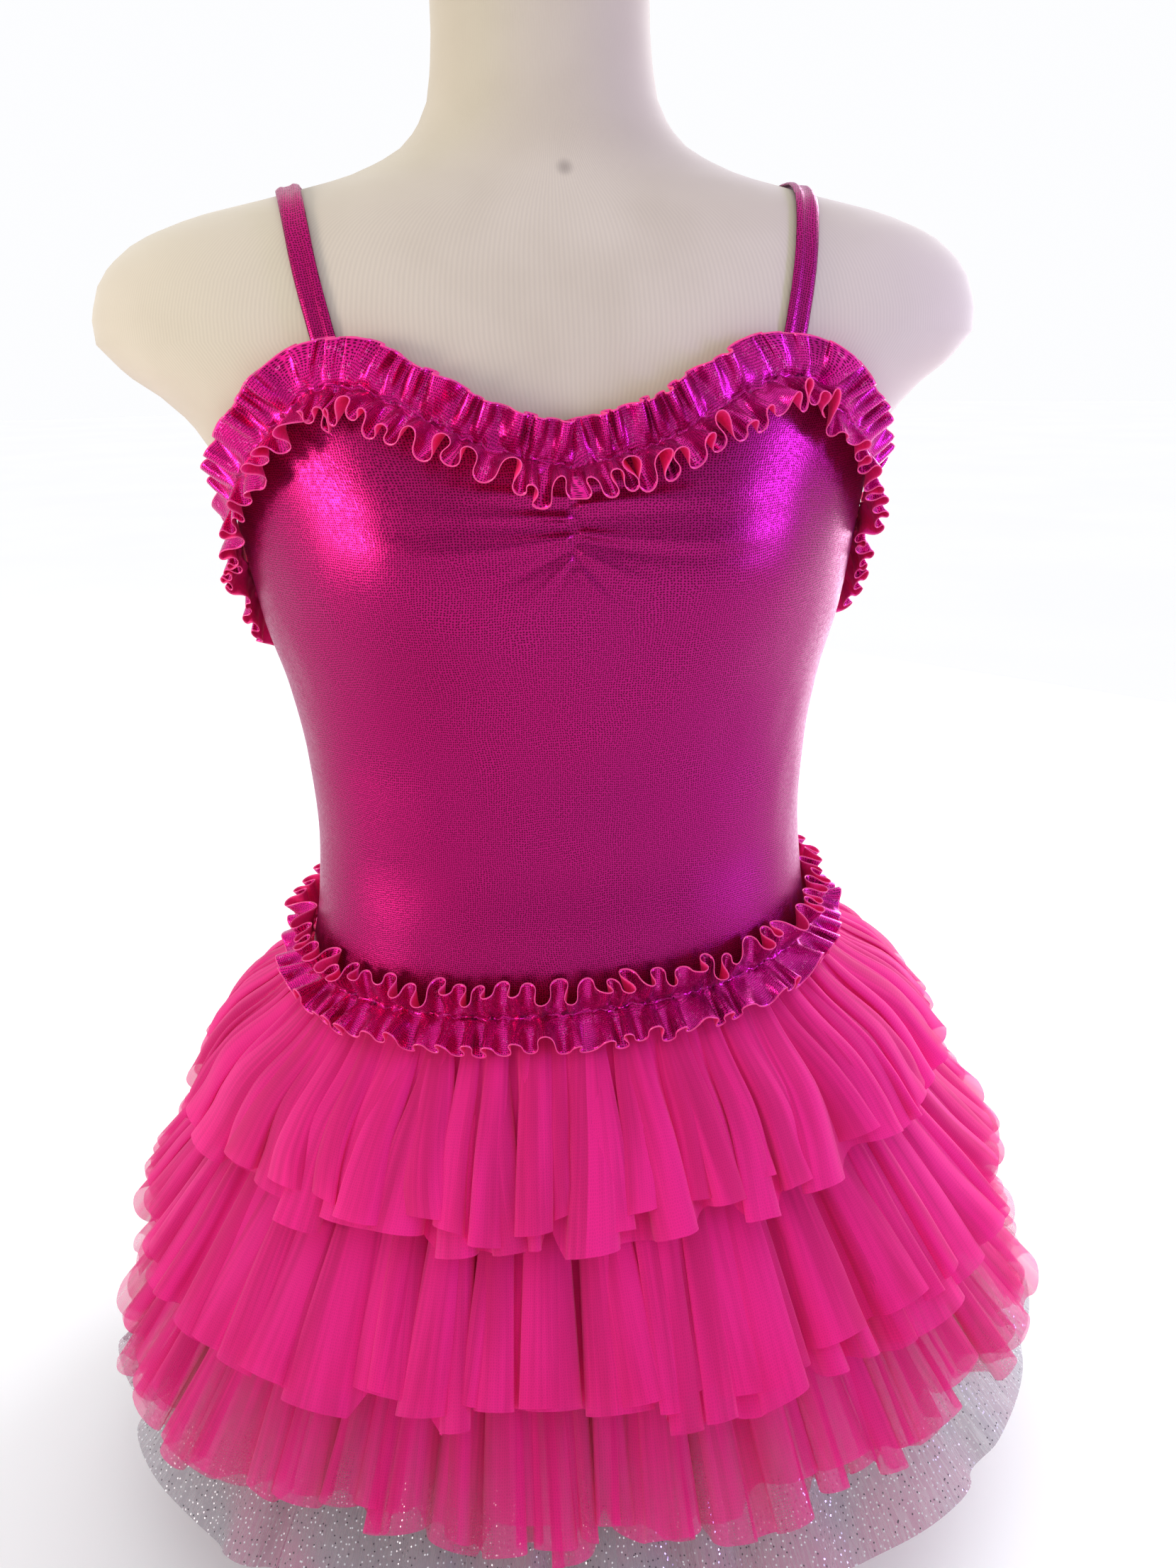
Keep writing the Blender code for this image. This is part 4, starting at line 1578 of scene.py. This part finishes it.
            side = self.side_flare * np.sin(turn) ** 2 + self.side_shift * np.sin(turn)
            reach = out[i] * (1 + side * wide) - depth * self.layer_gap * wide
            reach = reach + wave * slope_down[i] / size[i] + swing * slope_out[i] / size[i]
            reach = np.maximum(reach, self.least_reach)
            drop = down[i] + swing * slope_down[i] / size[i] - wave * slope_out[i] / size[i]
            points = root + plain * reach[:, None]
            points[:, 2] = seam - drop
            rows.append(points)
        grid = np.array(rows[::-1])
        edge = np.concatenate([grid[0], grid[0][:1]])
        around = np.concatenate([[0], np.cumsum(np.linalg.norm(np.diff(edge, axis=0), axis=1))])
        run = np.concatenate([[0], np.cumsum(size[1:])])[::-1]
        cloth = np.zeros((self.rows, columns + 1, 2))
        cloth[..., 0] = around[None, :]
        cloth[..., 1] = -run[:, None]
        return grid, cloth, float(around[-1])

    def yoke(self, tulle: bpy.types.Material) -> None:
        """Makes the plain band that the tiers are sewn to.

        Args:
            tulle: Its finish.
        """
        columns, rows = self.yoke_columns, self.yoke_rows
        turn = (np.arange(columns) * FULL_TURN / columns)[None, :]
        share = np.linspace(0, 1, rows + 1)[:, None]
        height = self.shape.seam_height(turn) - 0.3 * MM - self.yoke_depth * (1 - share)
        around = np.broadcast_to(turn, height.shape)
        points = self.shape.over(around, height, np.full(height.shape, self.yoke_lift))
        cloth = np.zeros((rows + 1, columns + 1, 2))
        cloth[..., 0] = (np.arange(columns + 1) * FULL_TURN / columns * self.cloth_radius)[None, :]
        cloth[..., 1] = share * self.yoke_depth
        sheet = ClothSheet("yoke_band", points, cloth, closed=True).dress(tulle)
        sheet.declare((0.86, self.yoke_depth), Held.STRETCHED, ["form_cover"], "hip_yoke", "tulle")

    def build(self, tulle: bpy.types.Material, net: bpy.types.Material) -> None:
        """Makes the yoke and every layer of the skirt.

        Args:
            tulle: The tulle's finish.
            net: The net's finish.
        """
        self.yoke(tulle)
        for number, plan in enumerate(self.tiers):
            words = ("_outer", "_inner") if plan.layers > 1 else ("",)
            for depth, word in enumerate(words):
                name = plan.name + word
                points, cloth, around = self.layer(plan, 21 + 5 * number + 2 * depth, depth)
                sheet = ClothSheet(name, points, cloth, closed=True)
                finish, slot = (net, "net") if plan.node == "glitter_net" else (tulle, "tulle")
                sheet.dress(finish)
                long = float(abs(cloth[0, 0, 1] - cloth[-1, 0, 1]))
                flat = (round(self.cut_allowance * sheet.area() / long, 3), round(long, 3))
                sheet.declare(flat, Held.GATHERED, ["yoke_band"], plan.node, slot)


@dataclass(frozen=True)
class Lamp:
    """A soft rectangular lamp that faces a target, its light held within some degrees."""

    name: str
    place: Tuple[float, float, float]
    target: Tuple[float, float, float]
    size: Tuple[float, float]
    energy: float
    colour: Colour
    spread: float = 180


@dataclass(frozen=True)
class Shade:
    """How the surroundings' strength grows along one axis of the direction looked in."""

    axis: str
    low: float
    high: float
    start: float
    end: float


@dataclass
class Studio:
    """The floor, the lights and the camera."""

    camera_place: Tuple[float, float, float] = (-0.057, -0.635, 0.642)
    yaw: float = math.radians(-6.55)
    pitch: float = math.radians(20.0)
    roll: float = math.radians(-1.0)
    focal_pixels: float = 1698.0
    picture_height: float = 2212.0
    sensor: float = 36.0
    clip_start: float = 0.02
    clip_end: float = 60
    floor_radius: float = 14
    floor_drop: float = 0.2 * MM
    sky: Colour = (0.98, 0.985, 1.0)
    shades: Tuple[Shade, ...] = (
        Shade("Y", -0.5, 0.7, 0.54, 1.0),
        Shade("Z", 0.35, 1.0, 0.0, 0.62),
    )
    lamps: Tuple[Lamp, ...] = (
        Lamp("left_lamp", (-1.5, -0.62, 0.66), (-0.05, 0, 0.58), (0.42, 0.62), 0.75, (1.0, 0.86, 0.80), 34),
        Lamp("right_window", (1.25, 1.15, 0.8), (0, 0, 0.45), (0.9, 1.5), 30, (0.90, 0.93, 1.0)),
        Lamp("right_front", (1.35, -0.65, 0.72), (0.05, 0, 0.55), (0.20, 0.8), 0.95, (0.44, 0.28, 1.0), 40),
    )

    def floor(self) -> None:
        """Lays a wide round floor."""
        bpy.ops.object.select_all(action="DESELECT")
        bpy.ops.mesh.primitive_circle_add(
            vertices=96,
            radius=self.floor_radius,
            fill_type="NGON",
            location=(0, 0, -self.floor_drop),
        )
        floor = bpy.context.object
        floor.name = "studio_floor"
        floor.data.materials.append(FloorPaint().material())

    def hang(self, plan: Lamp) -> None:
        """Hangs one lamp.

        Args:
            plan: The lamp.
        """
        data = bpy.data.lights.new(plan.name, "AREA")
        data.shape = "RECTANGLE"
        data.size, data.size_y = plan.size
        data.energy = plan.energy
        data.color = plan.colour
        data.spread = math.radians(plan.spread)
        lamp = bpy.data.objects.new(plan.name, data)
        bpy.context.scene.collection.objects.link(lamp)
        lamp.location = plan.place
        way = Vector(plan.target) - Vector(plan.place)
        lamp.rotation_euler = way.to_track_quat("-Z", "Y").to_euler()

    def surroundings(self) -> None:
        """Sets the pale surroundings, brighter behind the object and overhead."""
        scene = bpy.context.scene
        scene.view_settings.view_transform = "Standard"
        scene.world = scene.world or bpy.data.worlds.new("studio")
        scene.world.use_nodes = True
        tree = scene.world.node_tree
        sky = tree.nodes.get("Background")
        sky.inputs["Color"].default_value = (*self.sky, 1.0)
        way = tree.nodes.new("ShaderNodeSeparateXYZ")
        tree.links.new(tree.nodes.new("ShaderNodeTexCoord").outputs["Generated"], way.inputs["Vector"])
        both = tree.nodes.new("ShaderNodeMath")
        for socket, shade in zip(both.inputs, self.shades):
            ramp = tree.nodes.new("ShaderNodeMapRange")
            ramp.interpolation_type = "SMOOTHSTEP"
            spans = (shade.low, shade.high, shade.start, shade.end)
            for key, value in zip(("From Min", "From Max", "To Min", "To Max"), spans):
                ramp.inputs[key].default_value = value
            tree.links.new(way.outputs[shade.axis], ramp.inputs["Value"])
            tree.links.new(ramp.outputs["Result"], socket)
        tree.links.new(both.outputs[0], sky.inputs["Strength"])

    def camera(self) -> None:
        """Sets the camera where the photograph was taken from."""
        yaw, pitch, roll = self.yaw, self.pitch, self.roll
        level = Vector((-math.sin(yaw), math.cos(yaw), 0.0))
        ahead = level * math.cos(pitch) - Vector((0.0, 0.0, math.sin(pitch)))
        right = Vector((math.cos(yaw), math.sin(yaw), 0.0))
        up = right.cross(ahead)
        tilted = right * math.cos(roll) + up * math.sin(roll)
        upright = up * math.cos(roll) - right * math.sin(roll)
        data = bpy.data.cameras.new("camera")
        data.sensor_width = self.sensor
        data.lens = self.focal_pixels * self.sensor / self.picture_height
        data.clip_start, data.clip_end = self.clip_start, self.clip_end
        camera = bpy.data.objects.new("camera", data)
        bpy.context.scene.collection.objects.link(camera)
        turned = Matrix((tilted, upright, -ahead)).transposed().to_4x4()
        camera.matrix_world = Matrix.Translation(Vector(self.camera_place)) @ turned
        bpy.context.scene.camera = camera

    def build(self) -> None:
        """Makes the whole studio."""
        self.floor()
        self.surroundings()
        for plan in self.lamps:
            self.hang(plan)
        self.camera()


def main() -> None:
    """Builds every piece in order."""
    logging.basicConfig(level=logging.INFO, format="%(message)s")
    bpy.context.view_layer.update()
    Studio().build()
    shape = FormShape()
    foil = FoilCloth().material()
    # painted light: the ruffles' foil is the bodice's cloth made brighter, as if lit more strongly, and its
    # chosen cells get half the painted glint colour
    lit_copy_foil = FoilCloth(
        name="ruffle_foil_lit_copy",
        ground=(0.78, 0.008, 0.25),
        window_tint=(0.66, 0.014, 0.30),
        roughness=0.28,
        glitter=0.5,
    ).material()
    reverse, edge = PlainReverse().material(), CutEdge().material()
    DisplayForm(shape).build(KnitJersey().material())
    Bodice(shape).build(foil, reverse, edge)
    GatheredRuffle(
        shape, "neck_frill", "neck_ruffle", shape.gather_height, 10.5 * MM,
        upper=RuffleHalf(19 * MM, math.radians(18), math.radians(8), 9.5 * MM, 31),
        lower=RuffleHalf(19 * MM, math.radians(50), math.radians(12), 13.0 * MM, 32),
        seed=5, smooth_at=(math.radians(29), FULL_TURN - math.radians(29)), side_hug=0.5,
    ).build(lit_copy_foil, reverse, edge)
    GatheredRuffle(
        shape, "hip_frill", "hip_ruffle", lambda turn: shape.seam_height(turn) + 4 * MM, 12.5 * MM,
        upper=RuffleHalf(19 * MM, math.radians(30), math.radians(10), 12.5 * MM, 41),
        lower=RuffleHalf(20 * MM, math.radians(56), math.radians(9), 10.5 * MM, 42),
        seed=6,
    ).build(lit_copy_foil, reverse, edge)
    TieredSkirt(shape).build(SoftTulle().material(), GlitterNet().material())


if __name__ == "__main__":
    main()
